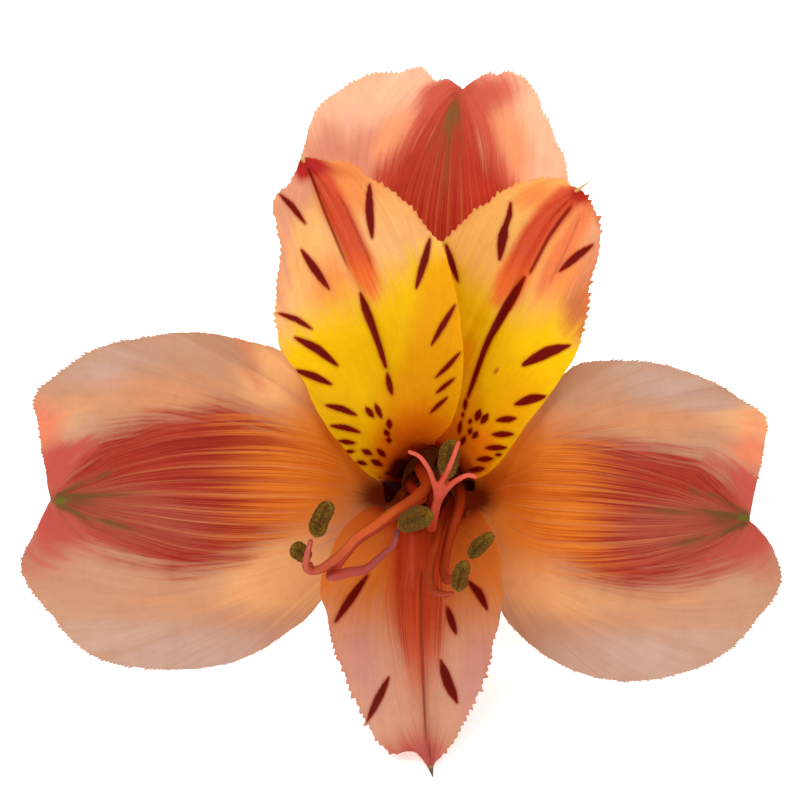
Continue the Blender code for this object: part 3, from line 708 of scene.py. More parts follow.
def petal_finish(name, base, layers, seed, veins=None, streak=None, share=0.5, line_count=11.5,
                 cloud=None, rough=0.46, grain_tones=((1.14, 1.13, 1.10), (0.90, 0.80, 0.76))):
    """Tepal finish: soft colour areas, fine fanning veins, parallel veins in the middle band."""
    g = Graph(name)
    t, s, q = g.attribute("t"), g.attribute("s"), g.attribute("q")

    def grain_of(coord, across, along, off, detail=3.0, rough_=0.62):
        raw = g.noise(g.vector(g.math("MULTIPLY", coord, across), g.math("MULTIPLY", t, along), seed + off),
                      1.0, detail, rough_)
        return g.ramp(raw, 0.30, 0.70, smooth=False)

    fine = grain_of(q, 270.0, 6.0, 0.0)
    mid = grain_of(q, 80.0, 3.0, 9.0)
    straight = grain_of(s, 80.0, 2.4, 4.0)
    hairs = grain_of(s, 240.0, 9.0, 14.0, 2.0)
    place = g.place()
    cloudy = g.ramp(g.noise(place, 190.0, 3.0, 0.60), 0.30, 0.70, smooth=False)
    patch = g.ramp(g.noise(place, 700.0, 3.0, 0.65), 0.30, 0.70, smooth=False)
    cell = g.noise(place, 5200.0, 2.0, 0.6)
    kinds = {"fan": mid, "fine": fine, "band": straight, "cloud": cloudy, "hairs": hairs,
             "feather": g.math("MULTIPLY_ADD", fine, 0.55, g.math("MULTIPLY", mid, 0.45))}

    col = base
    if cloud is not None:
        col = g.mix(g.math("MULTIPLY", cloudy, 0.8), col, cloud)
    for mask, colour, rough_edge, lo, hi, kind in layers:
        m = g.attribute(mask)
        if isinstance(colour[0], tuple):       # two tones, striped along the veins
            colour = g.mix(g.ramp(straight, 0.15, 0.85), colour[0], colour[1])
        if rough_edge:
            edge = g.math("MULTIPLY", g.math("SUBTRACT", kinds[kind], 0.5), rough_edge)
            # noise only moves the outline: nothing where the mask is 0, nothing lost where it is 1
            edge = g.math("MULTIPLY", edge, g.ramp(m, 0.0, 0.20))
            m = g.math("ADD", m, edge)
        col = g.mix(g.ramp(m, lo, hi), col, colour)

    height = g.math("MULTIPLY", fine, 0.35)
    if veins is not None:
        light, dark, strength = veins
        drift = g.noise(g.vector(g.math("MULTIPLY", s, 7.0), g.math("MULTIPLY", t, 0.7), seed + 21.0), 1.0, 1.0, 0.5)
        warp = g.math("MULTIPLY_ADD", g.math("SUBTRACT", mid, 0.5), 0.05, g.math("MULTIPLY", drift, 1.3))
        wave = g.math("COSINE", g.math("MULTIPLY", g.math("ADD", g.math("MULTIPLY", s, line_count), warp),
                                       2 * math.pi))
        lines = g.math("POWER", g.math("MULTIPLY_ADD", wave, 0.5, 0.5), 16.0)
        lines = g.math("MULTIPLY", lines, g.attribute("lines"))
        lines = g.math("MULTIPLY", lines, g.ramp(straight, 0.05, 0.7, 0.30, 1.0))
        tone = g.mix(g.attribute("lines_dark"), light, dark)
        col = g.mix(g.math("MULTIPLY", lines, strength), col, tone)
        height = g.math("ADD", height, g.math("MULTIPLY", lines, 0.8))
        rib = g.math("MULTIPLY", g.attribute("rib"), g.ramp(straight, 0.1, 0.8, 0.55, 1.0))
        col = g.mix(rib, col, dark)

    # fine darker and lighter striations, and a slight tissue mottle
    up = (*grain_tones[0], 1.0)
    down = (*grain_tones[1], 1.0)
    col = g.mix(g.ramp(fine, 0.55, 1.0, 0.0, 0.50), col, g.mix(1.0, col, up, "MULTIPLY"))
    col = g.mix(g.ramp(fine, 0.45, 0.0, 0.0, 0.42), col, g.mix(1.0, col, down, "MULTIPLY"))
    col = g.mix(g.ramp(mid, 0.45, 0.0, 0.0, 0.34), col, g.mix(1.0, col, down, "MULTIPLY"))
    col = g.mix(g.ramp(patch, 0.50, 1.0, 0.0, 0.45), col, g.mix(1.0, col, (1.08, 1.09, 1.10, 1), "MULTIPLY"))
    col = g.mix(g.ramp(patch, 0.50, 0.0, 0.0, 0.45), col, g.mix(1.0, col, (0.92, 0.86, 0.84, 1), "MULTIPLY"))
    col = g.mix(g.ramp(cell, 0.35, 0.70, 0.0, 0.30), col, g.mix(1.0, col, (0.90, 0.84, 0.82, 1), "MULTIPLY"))
    if streak is not None:
        outer, core = streak
        d = g.math("ADD", g.attribute("streak"), g.math("MULTIPLY", g.math("SUBTRACT", fine, 0.5), 0.7))
        col = g.mix(g.ramp(d, 3.0, 0.4, 0.0, 0.34), col, outer)
        col = g.mix(g.ramp(d, 0.85, -0.45), col, outer)
        col = g.mix(g.ramp(d, -0.1, -1.5), col, core)
        height = g.math("SUBTRACT", height, g.math("MULTIPLY", g.ramp(d, 0.6, -0.6), 0.5))
    glow = g.gamma(col, 0.66)
    height = g.math("ADD", height, g.math("MULTIPLY", cell, 0.45))
    normal = g.bump(height, 0.40, 0.00006)
    shine = g.ramp(cloudy, 0.0, 1.0, rough - 0.05, rough + 0.08, smooth=False)
    return g.finish(col, shine, normal, glow, share, specular=0.13)


# ------------------------------------------------------------------ tepal colours
def throat_shade_and_maroon(x, y):
    """Dark maroon pools in the throat, on either side of the style: maroon tissue under painted shade deep in the
    throat.
    """
    a = blob(x, y, 384, 497, 30, 17, 0)
    b = blob(x, y, 472, 500, 27, 18, 0)
    c = blob(x, y, 402, 472, 11, 13, 0)
    d = blob(x, y, 432, 494, 26, 14)
    e = blob(x, y, 431, 462, 3.5, 15, 6)
    return np.clip(1.15 * np.maximum(np.maximum(a, b), np.maximum(np.maximum(c, 0.9 * e), 0.8 * d)), 0, 1)


def throat_violet_reflection(x, y):
    # Painted reflection: blue-violet slivers on the claws between the tepals in the throat.
    left = [(380, 479), (396, 486), (401, 497), (393, 491)]
    right = [(466, 481), (455, 490), (449, 501), (458, 497)]
    return np.maximum(area(x, y, left, 2.5), area(x, y, right, 2.5))


def paint_left(x, y, t, s):
    band = [(40, 500), (51, 478), (84, 444), (115, 430), (146, 416), (180, 414), (217, 402), (246, 410),
            (275, 424), (345, 440), (360, 500), (319, 512), (272, 538), (245, 556), (206, 570), (173, 575),
            (128, 556), (84, 540), (58, 516)]
    m = area(x, y, band, 58)
    right_fade = step(400, 235, x)
    return {
        "band": m * (0.10 + 0.90 * right_fade) * step(400, 300, x),
        "pinkish": np.clip(blob(x, y, 150, 525, 90, 34, 2) + 0.7 * blob(x, y, 110, 500, 50, 22), 0, 1) * m,
        "blush": np.clip(m * 1.2 * step(165, 330, x) * step(400, 310, x), 0, 1),
        "warm": np.clip(0.8 * blob(x, y, 175, 395, 120, 24, -4) + 0.5 * blob(x, y, 190, 600, 130, 26, 6)
                        + 0.7 * step(225, 310, x) * step(585, 520, y), 0, 1),
        "coral": np.clip(0.9 * blob(x, y, 40, 428, 28, 40, -12) + 0.3 * blob(x, y, 92, 395, 40, 10, -35)
                         + 0.5 * stroke(x, y, [(243, 338), (252, 372), (268, 408)], 12.0, (0, 0.3)), 0, 1),
        "apricot": np.clip(0.9 * blob(x, y, 280, 364, 38, 34, 20) + 0.5 * blob(x, y, 262, 395, 34, 16, 10)
                           + 0.5 * blob(x, y, 66, 418, 34, 22, -30), 0, 1),
        "beige": np.clip(blob(x, y, 292, 566, 56, 44, -10) + 0.6 * blob(x, y, 250, 590, 60, 24, 0), 0, 1),
        "orange": np.clip(step(215, 320, x) * blob(x, y, 335, 450, 120, 56)
                          + 0.45 * blob(x, y, 290, 515, 60, 36), 0, 1),
        "deep": np.clip(0.50 * blob(x, y, 366, 480, 34, 22, 8), 0, 1),
        "rosy": np.clip(0.45 * blob(x, y, 120, 362, 95, 22, -18) + 0.9 * blob(x, y, 180, 655, 130, 34, 2)
                        + 0.5 * blob(x, y, 110, 385, 18, 24, -30), 0, 1),
        "crimson": np.clip(1.1 * blob(x, y, 52, 468, 20, 28, 10) + 0.8 * blob(x, y, 56, 524, 24, 14, 30)
                           + 0.62 * blob(x, y, 36, 552, 38, 40) + 0.10 * blob(x, y, 84, 548, 40, 14, 24)
                           + 0.75 * stroke(x, y, [(50, 472), (74, 451), (106, 434)], 10.0, (0, 0.3))
                           + 0.45 * stroke(x, y, [(56, 520), (88, 542), (132, 560)], 12.0, (0, 0.3)), 0, 1),
        "olive": np.clip(0.62 * blob(x, y, 78, 502, 26, 7, 3)
                         + 0.95 * stroke(x, y, [(58, 498), (100, 494), (190, 488)], 2.6, (0, 0.6))
                         + 0.80 * stroke(x, y, [(58, 495), (92, 478), (140, 466), (200, 462)], 2.4, (0, 0.7))
                         + 0.90 * stroke(x, y, [(58, 506), (92, 520), (140, 529), (200, 530)], 2.8, (0, 0.6))
                         + 0.45 * stroke(x, y, [(56, 508), (80, 535), (108, 550)], 2.4, (0.1, 0.4)), 0, 1),
        "green": np.clip(1.2 * blob(x, y, 60, 501, 8, 4, 0), 0, 1),
        "lines": step(0.46, 0.22, np.abs(s)) * step(0.18, 0.42, t) * step(1.0, 0.93, t) * (0.4 + 0.6 * m),
        "lines_dark": step(0.74, 0.95, t) * 0.9,
        "rib": np.exp(-(s / 0.013) ** 2) * step(0.50, 0.85, t) * 0.7,
        # dark: painted shade deep in the throat and on the claw base, over maroon tissue; violet: painted reflection
        "dark": np.clip(throat_shade_and_maroon(x, y) + step(0.12, 0.05, t), 0, 1), "violet": throat_violet_reflection(x, y),
    }


def paint_right(x, y, t, s):
    band = [(762, 518), (755, 496), (739, 480), (719, 462), (693, 452), (655, 447), (617, 440), (594, 436),
            (560, 432), (525, 440), (500, 470), (500, 530), (528, 545), (543, 554), (566, 567), (599, 584),
            (630, 590), (668, 581), (706, 574), (739, 562), (758, 536)]
    m = area(x, y, band, 58)
    left_fade = step(490, 605, x)
    return {
        "band": m * (0.10 + 0.90 * left_fade) * step(480, 555, x),
        "pinkish": np.clip(blob(x, y, 670, 535, 80, 34, -2) + 0.6 * blob(x, y, 700, 515, 50, 20), 0, 1) * m,
        "blush": np.clip(m * 1.2 * step(655, 535, x) * step(480, 540, x), 0, 1),
        "warm": np.clip(0.8 * blob(x, y, 640, 425, 120, 22, 4) + 0.5 * blob(x, y, 640, 610, 130, 26, -4)
                        + 0.7 * step(585, 515, x) * step(590, 520, y), 0, 1),
        "coral": np.clip(0.7 * blob(x, y, 752, 455, 16, 22) + 0.5 * blob(x, y, 726, 446, 26, 12, 25)
                         + 0.40 * blob(x, y, 756, 424, 26, 30), 0, 1),
        "apricot": np.clip(0.75 * blob(x, y, 754, 424, 28, 30) + 0.15 * blob(x, y, 706, 424, 26, 22, 30), 0, 1),
        "beige": np.clip(0.9 * blob(x, y, 530, 572, 40, 40, 10) + 0.6 * blob(x, y, 585, 600, 60, 22, 0), 0, 1),
        "orange": np.clip(step(600, 505, x) * blob(x, y, 516, 470, 80, 58) + 0.6 * blob(x, y, 524, 540, 44, 44), 0, 1),
        "deep": np.clip(0.9 * blob(x, y, 506, 488, 34, 24, -8), 0, 1),
        "rosy": np.clip(0.8 * blob(x, y, 680, 390, 90, 24, 18) + 0.9 * blob(x, y, 640, 662, 120, 34, -2), 0, 1),
        "crimson": np.clip(0.9 * blob(x, y, 752, 492, 18, 26, -10) + 0.9 * blob(x, y, 748, 542, 26, 14, -30)
                           + 0.58 * blob(x, y, 770, 570, 30, 32) + 0.08 * blob(x, y, 720, 566, 40, 12, -20)
                           + 0.75 * stroke(x, y, [(750, 490), (726, 466), (690, 450)], 11.0, (0, 0.3))
                           + 0.45 * stroke(x, y, [(748, 536), (712, 558), (674, 576)], 12.0, (0, 0.3)), 0, 1),
        "olive": np.clip(0.62 * blob(x, y, 724, 521, 24, 7, -3)
                         + 0.95 * stroke(x, y, [(746, 517), (700, 511), (600, 508)], 2.6, (0, 0.6))
                         + 0.80 * stroke(x, y, [(746, 513), (716, 496), (660, 484), (610, 482)], 2.4, (0, 0.7))
                         + 0.90 * stroke(x, y, [(746, 524), (712, 538), (660, 546), (610, 545)], 2.8, (0, 0.6))
                         + 0.45 * stroke(x, y, [(746, 526), (728, 552), (700, 566)], 2.4, (0.1, 0.4)), 0, 1),
        "green": np.clip(1.2 * blob(x, y, 744, 518, 8, 4, 0), 0, 1),
        "lines": step(0.46, 0.22, np.abs(s)) * step(0.18, 0.42, t) * step(1.0, 0.93, t) * (0.4 + 0.6 * m),
        "lines_dark": step(0.74, 0.95, t) * 0.9,
        "rib": np.exp(-(s / 0.013) ** 2) * step(0.50, 0.85, t) * 0.7,
        # dark: painted shade deep in the throat and on the claw base, over maroon tissue; violet: painted reflection
        "dark": np.clip(throat_shade_and_maroon(x, y) + step(0.12, 0.05, t), 0, 1), "violet": throat_violet_reflection(x, y),
    }


def paint_top(x, y, t, s):
    band = [(456, 90), (440, 106), (420, 128), (398, 150), (378, 172), (368, 196), (395, 300), (441, 400),
            (490, 300), (522, 215), (508, 190), (492, 160), (478, 130), (466, 104)]
    m = area(x, y, band, 40)
    return {
        "band": m,
        "apricot": np.zeros_like(x), "beige": np.zeros_like(x),
        "blush": np.clip(0.55 * stroke(x, y, [(464, 125), (470, 160), (472, 206), (468, 240)], 8.0)
                         + 0.5 * blob(x, y, 488, 192, 10, 26), 0, 1),
        "warm": np.clip(0.9 * blob(x, y, 396, 138, 24, 46, 30) + 0.9 * blob(x, y, 502, 130, 24, 52, -18)
                        + 0.3 * blob(x, y, 525, 165, 18, 36), 0, 1),
        "orange": np.clip(0.9 * blob(x, y, 500, 184, 14, 30, -10) + 0.4 * blob(x, y, 398, 150, 12, 24, 20), 0, 1),
        "deep": step(0.50, 0.34, t),
        "coral": np.zeros_like(x),
        "rosy": np.clip(1.0 * blob(x, y, 334, 160, 44, 50, 30) + 0.5 * blob(x, y, 376, 150, 20, 40, 10), 0, 1),
        "crimson": np.clip(0.85 * blob(x, y, 438, 98, 26, 22, -34) + 0.70 * blob(x, y, 484, 92, 30, 22, -18)
                           + 0.35 * blob(x, y, 508, 90, 24, 26)
                           + 0.8 * stroke(x, y, [(448, 100), (420, 128), (382, 182)], 15.0)
                           + 0.9 * stroke(x, y, [(467, 98), (484, 132), (506, 194)], 15.0), 0, 1),
        "olive": np.clip(0.9 * blob(x, y, 454.5, 108, 5, 14, 6)
                         + 1.0 * stroke(x, y, [(454, 104), (450, 150), (445, 196), (441, 230)], 2.4, (0, 0.5))
                         + 0.80 * stroke(x, y, [(451, 110), (440, 150), (428, 192)], 2.6, (0, 0.6))
                         + 0.45 * stroke(x, y, [(450, 110), (430, 142), (410, 182)], 3.0, (0, 0.6))
                         + 0.70 * stroke(x, y, [(458, 110), (463, 135), (465, 170)], 2.4, (0, 0.6)), 0, 1),
        "green": np.clip(1.0 * blob(x, y, 455, 102, 4, 7, 0), 0, 1) * 0.35,
        "lines": step(0.40, 0.18, np.abs(s)) * step(0.15, 0.35, t) * step(1.0, 0.95, t) * m,
        "lines_dark": step(0.70, 0.95, t) * 0.7,
        "rib": np.exp(-(s / 0.016) ** 2) * step(0.35, 0.7, t) * 0.5,
        # dark: painted shade deep in the throat, over maroon tissue
        "dark": np.clip(0.35 * throat_shade_and_maroon(x, y) + 0.9 * blob(x, y, 401, 470, 9, 16), 0, 1),
        "violet": np.zeros_like(x),
    }


STREAKS_LEFT = [
    ([(279.6, 194.7), (291.0, 205.5), (305.6, 224.2)], 5.2), ([(301.4, 250), (313.5, 267.5), (328.8, 288.7)], 7.0),
    ([(369.4, 185), (369.8, 212), (372.3, 238)], 7.2), ([(430.5, 238), (424.5, 261), (416.5, 288)], 6.4),
    ([(455.4, 305), (441.5, 328), (431.8, 344.6)], 5.2), ([(460.5, 352), (448, 366), (436.3, 377)], 4.2),
    ([(454.7, 378), (446, 385), (436.9, 392.5)], 3.8), ([(447.7, 397), (439, 404.5), (431, 412)], 3.6),
    ([(278.2, 312.6), (296, 319), (311.9, 328.7)], 4.8), ([(294.7, 337), (317, 348.5), (337.4, 365)], 7.4),
    ([(296, 370), (313.5, 376), (331, 384)], 6.6),
    ([(360.3, 294), (365, 307), (372, 325), (379, 345), (385.9, 367)], (2.0, 6.4, 6.6, 5.4, 4.6, 4.4, 2.6)),
    ([(387, 373), (392, 394.4)], 5.4), ([(325.3, 405), (341, 408.5), (355.9, 414.8)], 5.6),
    ([(329.7, 425.6), (345, 427.5), (359, 432)], 5.0), ([(338, 441), (354.6, 443)], 4.2),
    ([(345, 451.8), (353.7, 451.5)], 3.6), ([(365.5, 407), (373, 416.7)], 5.4), ([(375, 403.3), (381.4, 417.3)], 5.0),
    ([(388.4, 418), (389.2, 427)], 5.2), ([(384.5, 429), (387.8, 435)], 5.0), ([(388.4, 436.5), (388, 441.8)], 4.8),
    ([(361.6, 450), (371.2, 454.3)], 4.8), ([(377, 449.2), (384.3, 456.6)], 4.8), ([(356.3, 462), (366, 464.5)], 4.0),
    ([(370.6, 460.5), (381.4, 465.8)], 5.0), ([(384.6, 473.5), (394.8, 475.4)], 3.6),
]
STREAKS_RIGHT = [
    ([(445.7, 243.8), (451.5, 262), (458.4, 281.7)], 5.4),
    ([(510.5, 203), (509.5, 215), (504.5, 229), (502, 242), (499.7, 259)], (2.0, 5.0, 5.0, 9.0, 7.0, 2.6)),
    ([(592.7, 245), (577, 256), (560, 270.8)], 6.8),
    ([(525, 277), (515.5, 293), (505, 310), (490, 337), (484, 351), (468.7, 395.7)],
     (2.6, 7.4, 8.6, 7.6, 6.0, 5.2, 4.6, 4.2, 2.4)),
    ([(467, 398), (464.9, 409)], 4.2), ([(463.6, 412), (463.2, 416.7)], 3.0), ([(461.4, 420.5), (460, 432.7)], 3.6),
    ([(466, 435.5), (463.2, 443.5)], 4.4), ([(570, 344.6), (548, 351.5), (524.8, 363.8)], (2.0, 8.0, 9.8, 8.6, 4.0)),
    ([(545.9, 396.3), (532, 398.5), (515.9, 404)], 8.0), ([(516.5, 418), (497.4, 420)], 5.8),
    ([(514, 434), (493, 434.2)], 5.4), ([(507, 447.7), (487, 447.7)], 5.2), ([(502.5, 455), (496, 454.6)], 3.0),
    ([(493.6, 458.8), (478.5, 459.7)], 5.2), ([(485.3, 469), (471.9, 470.7)], 5.2), ([(480.8, 409), (477, 420)], 5.6),
    ([(488.5, 413.5), (482.3, 423)], 5.6), ([(471.6, 418), (470.4, 423)], 3.6), ([(471.9, 427.6), (470.4, 433.3)], 4.4),
    ([(478.3, 431.4), (474.2, 437.8)], 4.8),
]
STREAKS_LOWER = [
    ([(367.5, 575.4), (350.5, 599), (335.4, 621.4)], 7.2), ([(389, 677), (379, 697), (367.5, 719)], 7.0),
    ([(468.4, 581.6), (479, 593), (487, 609.3)], 7.2), ([(447, 607.5), (451, 620), (456, 634.3)], 6.6),
    ([(440.7, 661), (448, 683), (456.8, 702)], (2.0, 8.0, 9.0, 8.0, 2.0)),
]


def paint_upper_left(x, y, t, s):
    start = np.interp(x, [270, 285, 300, 330, 360, 385, 400, 415, 432, 460], [356, 338, 318, 300, 292, 278, 264, 250, 240, 236])
    fold = [(300, 156), (310, 178), (322, 212), (337, 242), (356, 284), (368, 306), (384, 300), (372, 254),
            (349, 205), (334, 176), (318, 160)]
    overlap = [(424, 268), (447, 252), (470, 270), (470, 400), (446, 450), (414, 452), (408, 380), (412, 320)]
    f = area(x, y, fold, 13)
    return {
        "rosy": np.clip(blob(x, y, 300, 185, 18, 30, 10) + 0.7 * blob(x, y, 282, 250, 14, 70), 0, 1),
        # warm: orange tone; the patch at (330, 286) is a painted soft shadow beside the fold
        "warm": np.clip(blob(x, y, 350, 190, 30, 32, 30) + 0.9 * blob(x, y, 330, 286, 26, 34, -20)
                        + 0.15 * blob(x, y, 400, 235, 24, 40, -25)
                        + 0.6 * stroke(x, y, [(310, 166), (350, 168), (372, 180)], 9.0, (0, 0.5)), 0, 1),
        "tan": np.zeros_like(x),
        "edge": step(0.93, 1.0, np.abs(s)) * step(330, 290, y) * np.where(s > 0, step(250, 230, y), 1.0),
        "yellow": np.clip(0.46 + (y - start) / 86.0, 0, 1),
        # amber: painted shade where the two upper tepals overlap, and an amber tone towards the throat
        "amber": np.clip(area(x, y, overlap, 30) + 0.8 * blob(x, y, 396, 380, 26, 70, 6) * step(330, 400, y), 0, 1),
        "deep": np.clip(blob(x, y, 418, 440, 42, 44) + 0.9 * blob(x, y, 404, 462, 30, 26), 0, 1),
        "fold": f * step(300, 225, y),
        "fold_end": f * step(225, 262, y) * step(334, 266, y),
        "blush": np.clip(0.9 * blob(x, y, 312, 166, 17, 12, 20) + 0.40 * blob(x, y, 342, 172, 26, 8, 20)
                         + 0.6 * blob(x, y, 302, 173, 9, 13, 10), 0, 1),
        # brownish: painted highlight along the lit rolled lower margin, which also lifts the throat's painted shade
        # under it
        "brownish": 0.8 * stroke(x, y, [(379, 478), (398, 481), (418, 487)], 2.4),
        # line: dark line along the fold of the midrib, partly the tissue's colour, partly painted shade in the crease
        "line": np.clip(0.9 * stroke(x, y, [(306, 162), (312, 178), (325, 214), (337, 242), (357, 288)], 1.9, (0.08, 0.3))
                        + 0.55 * stroke(x, y, [(330, 182), (346, 208), (366, 252), (382, 292)], 2.6, (0.2, 0.3)), 0, 1),
        "glint": 0.6 * stroke(x, y, [(322, 196), (340, 236), (362, 284)], 3.0, (0.2, 0.3)),
        # claw: painted shade on the claw where it goes down into the throat
        "claw": step(478, 486, y) * step(396, 388, x),
        # dark: painted shade deep in the throat and on the claw base, over maroon tissue
        "dark": np.clip(throat_shade_and_maroon(x, y) + 0.9 * blob(x, y, 401, 472, 13, 13) + step(0.07, 0.02, t), 0, 1)
                * (1 - 0.9 * stroke(x, y, [(379, 478), (398, 481), (418, 487)], 2.4)),
        # violet: painted reflection on the claws in the throat
        "violet": throat_violet_reflection(x, y),
        "point": blob(x, y, 303, 158, 3.0, 4.0) * 0.7,
        "streak": streaks(x, y, STREAKS_LEFT),
    }


def paint_upper_right(x, y, t, s):
    start = np.interp(x, [440, 452, 465, 480, 495, 510, 528, 545, 562, 580, 600],
                      [246, 254, 266, 276, 292, 304, 308, 306, 318, 338, 352])
    fold = [(560, 186), (590, 186), (586, 200), (566, 222), (548, 246), (530, 280), (520, 308), (500, 312),
            (488, 302), (498, 273), (522, 229), (540, 205)]
    beside = [(590, 190), (598, 202), (588, 228), (560, 276), (540, 312), (524, 310), (536, 280), (553, 246), (570, 220)]
    overlap = [(440, 330), (478, 340), (480, 420), (470, 452), (430, 452), (430, 380)]
    return {
        "rosy": np.clip(blob(x, y, 590, 260, 20, 60, 8) + 0.6 * blob(x, y, 575, 320, 18, 30, 30), 0, 1),
        "warm": np.clip(blob(x, y, 535, 196, 26, 16, -20) + 0.9 * blob(x, y, 565, 268, 22, 50, 22)
                        + 0.1 * blob(x, y, 492, 268, 14, 30), 0, 1),
        "tan": np.clip(blob(x, y, 590, 300, 24, 52, 22) + 0.4 * blob(x, y, 572, 322, 20, 20, 30), 0, 1),
        "edge": step(0.93, 1.0, np.abs(s)) * step(350, 310, y) * np.where(s < 0, step(252, 232, y), 1.0),
        "yellow": np.clip(0.46 + (y - start) / 80.0, 0, 1),
        # amber: painted shade where the two upper tepals overlap, and an amber tone towards the throat
        "amber": np.clip(area(x, y, overlap, 22) + 0.6 * blob(x, y, 500, 430, 40, 26, -40)
                         + 0.5 * blob(x, y, 518, 390, 30, 40, 30), 0, 1),
        "deep": np.clip(blob(x, y, 446, 440, 34, 40) + 0.7 * blob(x, y, 474, 466, 26, 20)
                        + 0.5 * blob(x, y, 484, 444, 24, 16, -40), 0, 1),
        "fold": area(x, y, fold, 13) * step(306, 232, y),
        "fold_end": area(x, y, fold, 13) * step(230, 265, y) * step(338, 276, y),
        "blush": np.clip(blob(x, y, 582, 194, 14, 12) + 0.55 * blob(x, y, 598, 214, 8, 18), 0, 1),
        "beside": area(x, y, beside, 14) * step(334, 262, y),
        # line: dark lines along the fold of the midrib, partly the tissue's colour, partly painted shade in the crease
        "line": np.clip(stroke(x, y, [(578, 198), (560, 222), (549, 238), (527, 279)], 2.3, (0.2, 0.12))
                        + 0.45 * stroke(x, y, [(586, 204), (566, 250), (541, 300)], 2.6, (0.2, 0.3))
                        + 0.35 * stroke(x, y, [(545, 205), (522, 240), (500, 290)], 3.0, (0.2, 0.3)), 0, 1),
        "glint": 0.6 * stroke(x, y, [(566, 206), (540, 232), (514, 278)], 3.0, (0.2, 0.3)),
        "brownish": 0.85 * blob(x, y, 496.8, 370, 5.6, 2.4, -54),
        # claw: painted shade on the claw where it goes down into the throat
        "claw": step(477, 484, y) * step(466, 470, x),
        # dark: painted shade deep in the throat and on the claw base, over maroon tissue
        "dark": np.clip(throat_shade_and_maroon(x, y) + step(0.07, 0.02, t), 0, 1),
        # violet: painted reflection on the claws in the throat
        "violet": throat_violet_reflection(x, y),
        "point": blob(x, y, 580, 188, 3.5, 3.0) * 0.7,
        "streak": streaks(x, y, STREAKS_RIGHT),
    }


def paint_lower(x, y, t, s):
    band = [(388, 500), (452, 500), (452, 560), (448, 620), (440, 680), (436, 740), (430, 765), (420, 765),
            (408, 740), (400, 690), (392, 620), (386, 560)]
    return {
        "rosy": np.clip(0.9 * blob(x, y, 362, 660, 22, 60, -12) + 0.9 * blob(x, y, 476, 670, 20, 60, 12), 0, 1),
        "warm": np.clip(step(720, 560, y) * 0.75 + 0.5 * blob(x, y, 420, 745, 60, 26), 0, 1),
        "orange": np.clip(step(675, 545, y) * 1.0, 0, 1),
        "deep": np.clip(step(560, 500, y) * 0.7, 0, 1),
        "band": area(x, y, band, 40) * (0.40 + 0.60 * step(740, 600, y)),
        "blush": np.clip(stroke(x, y, [(398, 520), (400, 620), (410, 700)], 5.0, (0, 0.4))
                         + stroke(x, y, [(440, 520), (440, 620), (434, 700)], 5.0, (0, 0.4)), 0, 1) * 0.6,
        "glint": 0.7 * stroke(x, y, [(412, 500), (411, 560), (413, 610)], 2.6, (0, 0.3)),
        "line": 0.8 * stroke(x, y, [(421, 560), (421, 634), (423, 680), (426, 742), (431, 768)], 2.2, (0.1, 0)),
        "crimson": np.clip(0.8 * blob(x, y, 420, 758, 40, 18) + 0.35 * blob(x, y, 420, 735, 30, 24), 0, 1),
        "edge": step(0.93, 1.0, np.abs(s)) * step(560, 640, y),
        # dark: painted shade deep in the throat and on the claw base, over maroon tissue
        "dark": np.clip(throat_shade_and_maroon(x, y) * 0.8 + step(0.16, 0.08, t), 0, 1), "violet": np.zeros_like(x),
        "point": blob(x, y, 431, 769, 3.2, 4.5),
        "streak": streaks(x, y, STREAKS_LOWER),
    }


# ------------------------------------------------------------------ tepals
PEACH = seen(207, 165, 135)
ROSY = seen(210, 178, 163)
WARM = seen(224, 162, 116)
ORANGE = seen(232, 146, 42)
DEEP = seen(214, 108, 30)
OLIVE = seen(122, 84, 42)
GREEN = seen(118, 118, 44)
# MAROON: maroon tissue for the dark masks, which paint the shade deep in the throat
MAROON = seen(112, 30, 8)
# Blue-violet of the painted reflection on the claws in the throat.
VIOLET_REFLECTION = seen(124, 108, 204)

OUTER_LAYERS = [
    ("rosy", ROSY, 0.50, 0.10, 0.95, "fan"),
    ("warm", WARM, 0.50, 0.10, 0.95, "fan"),
    ("beige", seen(238, 184, 128), 0.40, 0.10, 0.95, "fan"),
    ("apricot", seen(248, 198, 140), 0.45, 0.10, 0.98, "fan"),
    ("coral", seen(230, 146, 110), 0.55, 0.10, 0.98, "feather"),
    ("orange", (ORANGE, seen(232, 148, 62)), 0.55, 0.10, 0.95, "feather"),
    ("band", (seen(160, 44, 32), seen(192, 76, 50)), 0.70, 0.22, 0.84, "feather"),
    ("pinkish", (seen(166, 68, 54), seen(192, 100, 76)), 0.60, 0.15, 0.95, "band"),
    ("blush", (seen(218, 108, 28), seen(238, 150, 50)), 0.60, 0.05, 1.10, "band"),
    ("deep", DEEP, 0.35, 0.10, 0.95, "fan"),
    ("crimson", seen(203, 97, 82), 0.70, 0.10, 1.00, "feather"),
    ("olive", (OLIVE, seen(134, 92, 52)), 0.50, 0.15, 0.90, "band"),
    ("green", GREEN, 0.40, 0.10, 1.10, "band"),
    # dark: painted shade in the throat over maroon tissue; violet: painted reflection
    ("dark", MAROON, 0.25, 0.08, 0.92, "fan"),
    ("violet", VIOLET_REFLECTION, 0.0, 0.20, 0.80, "fan"),
]


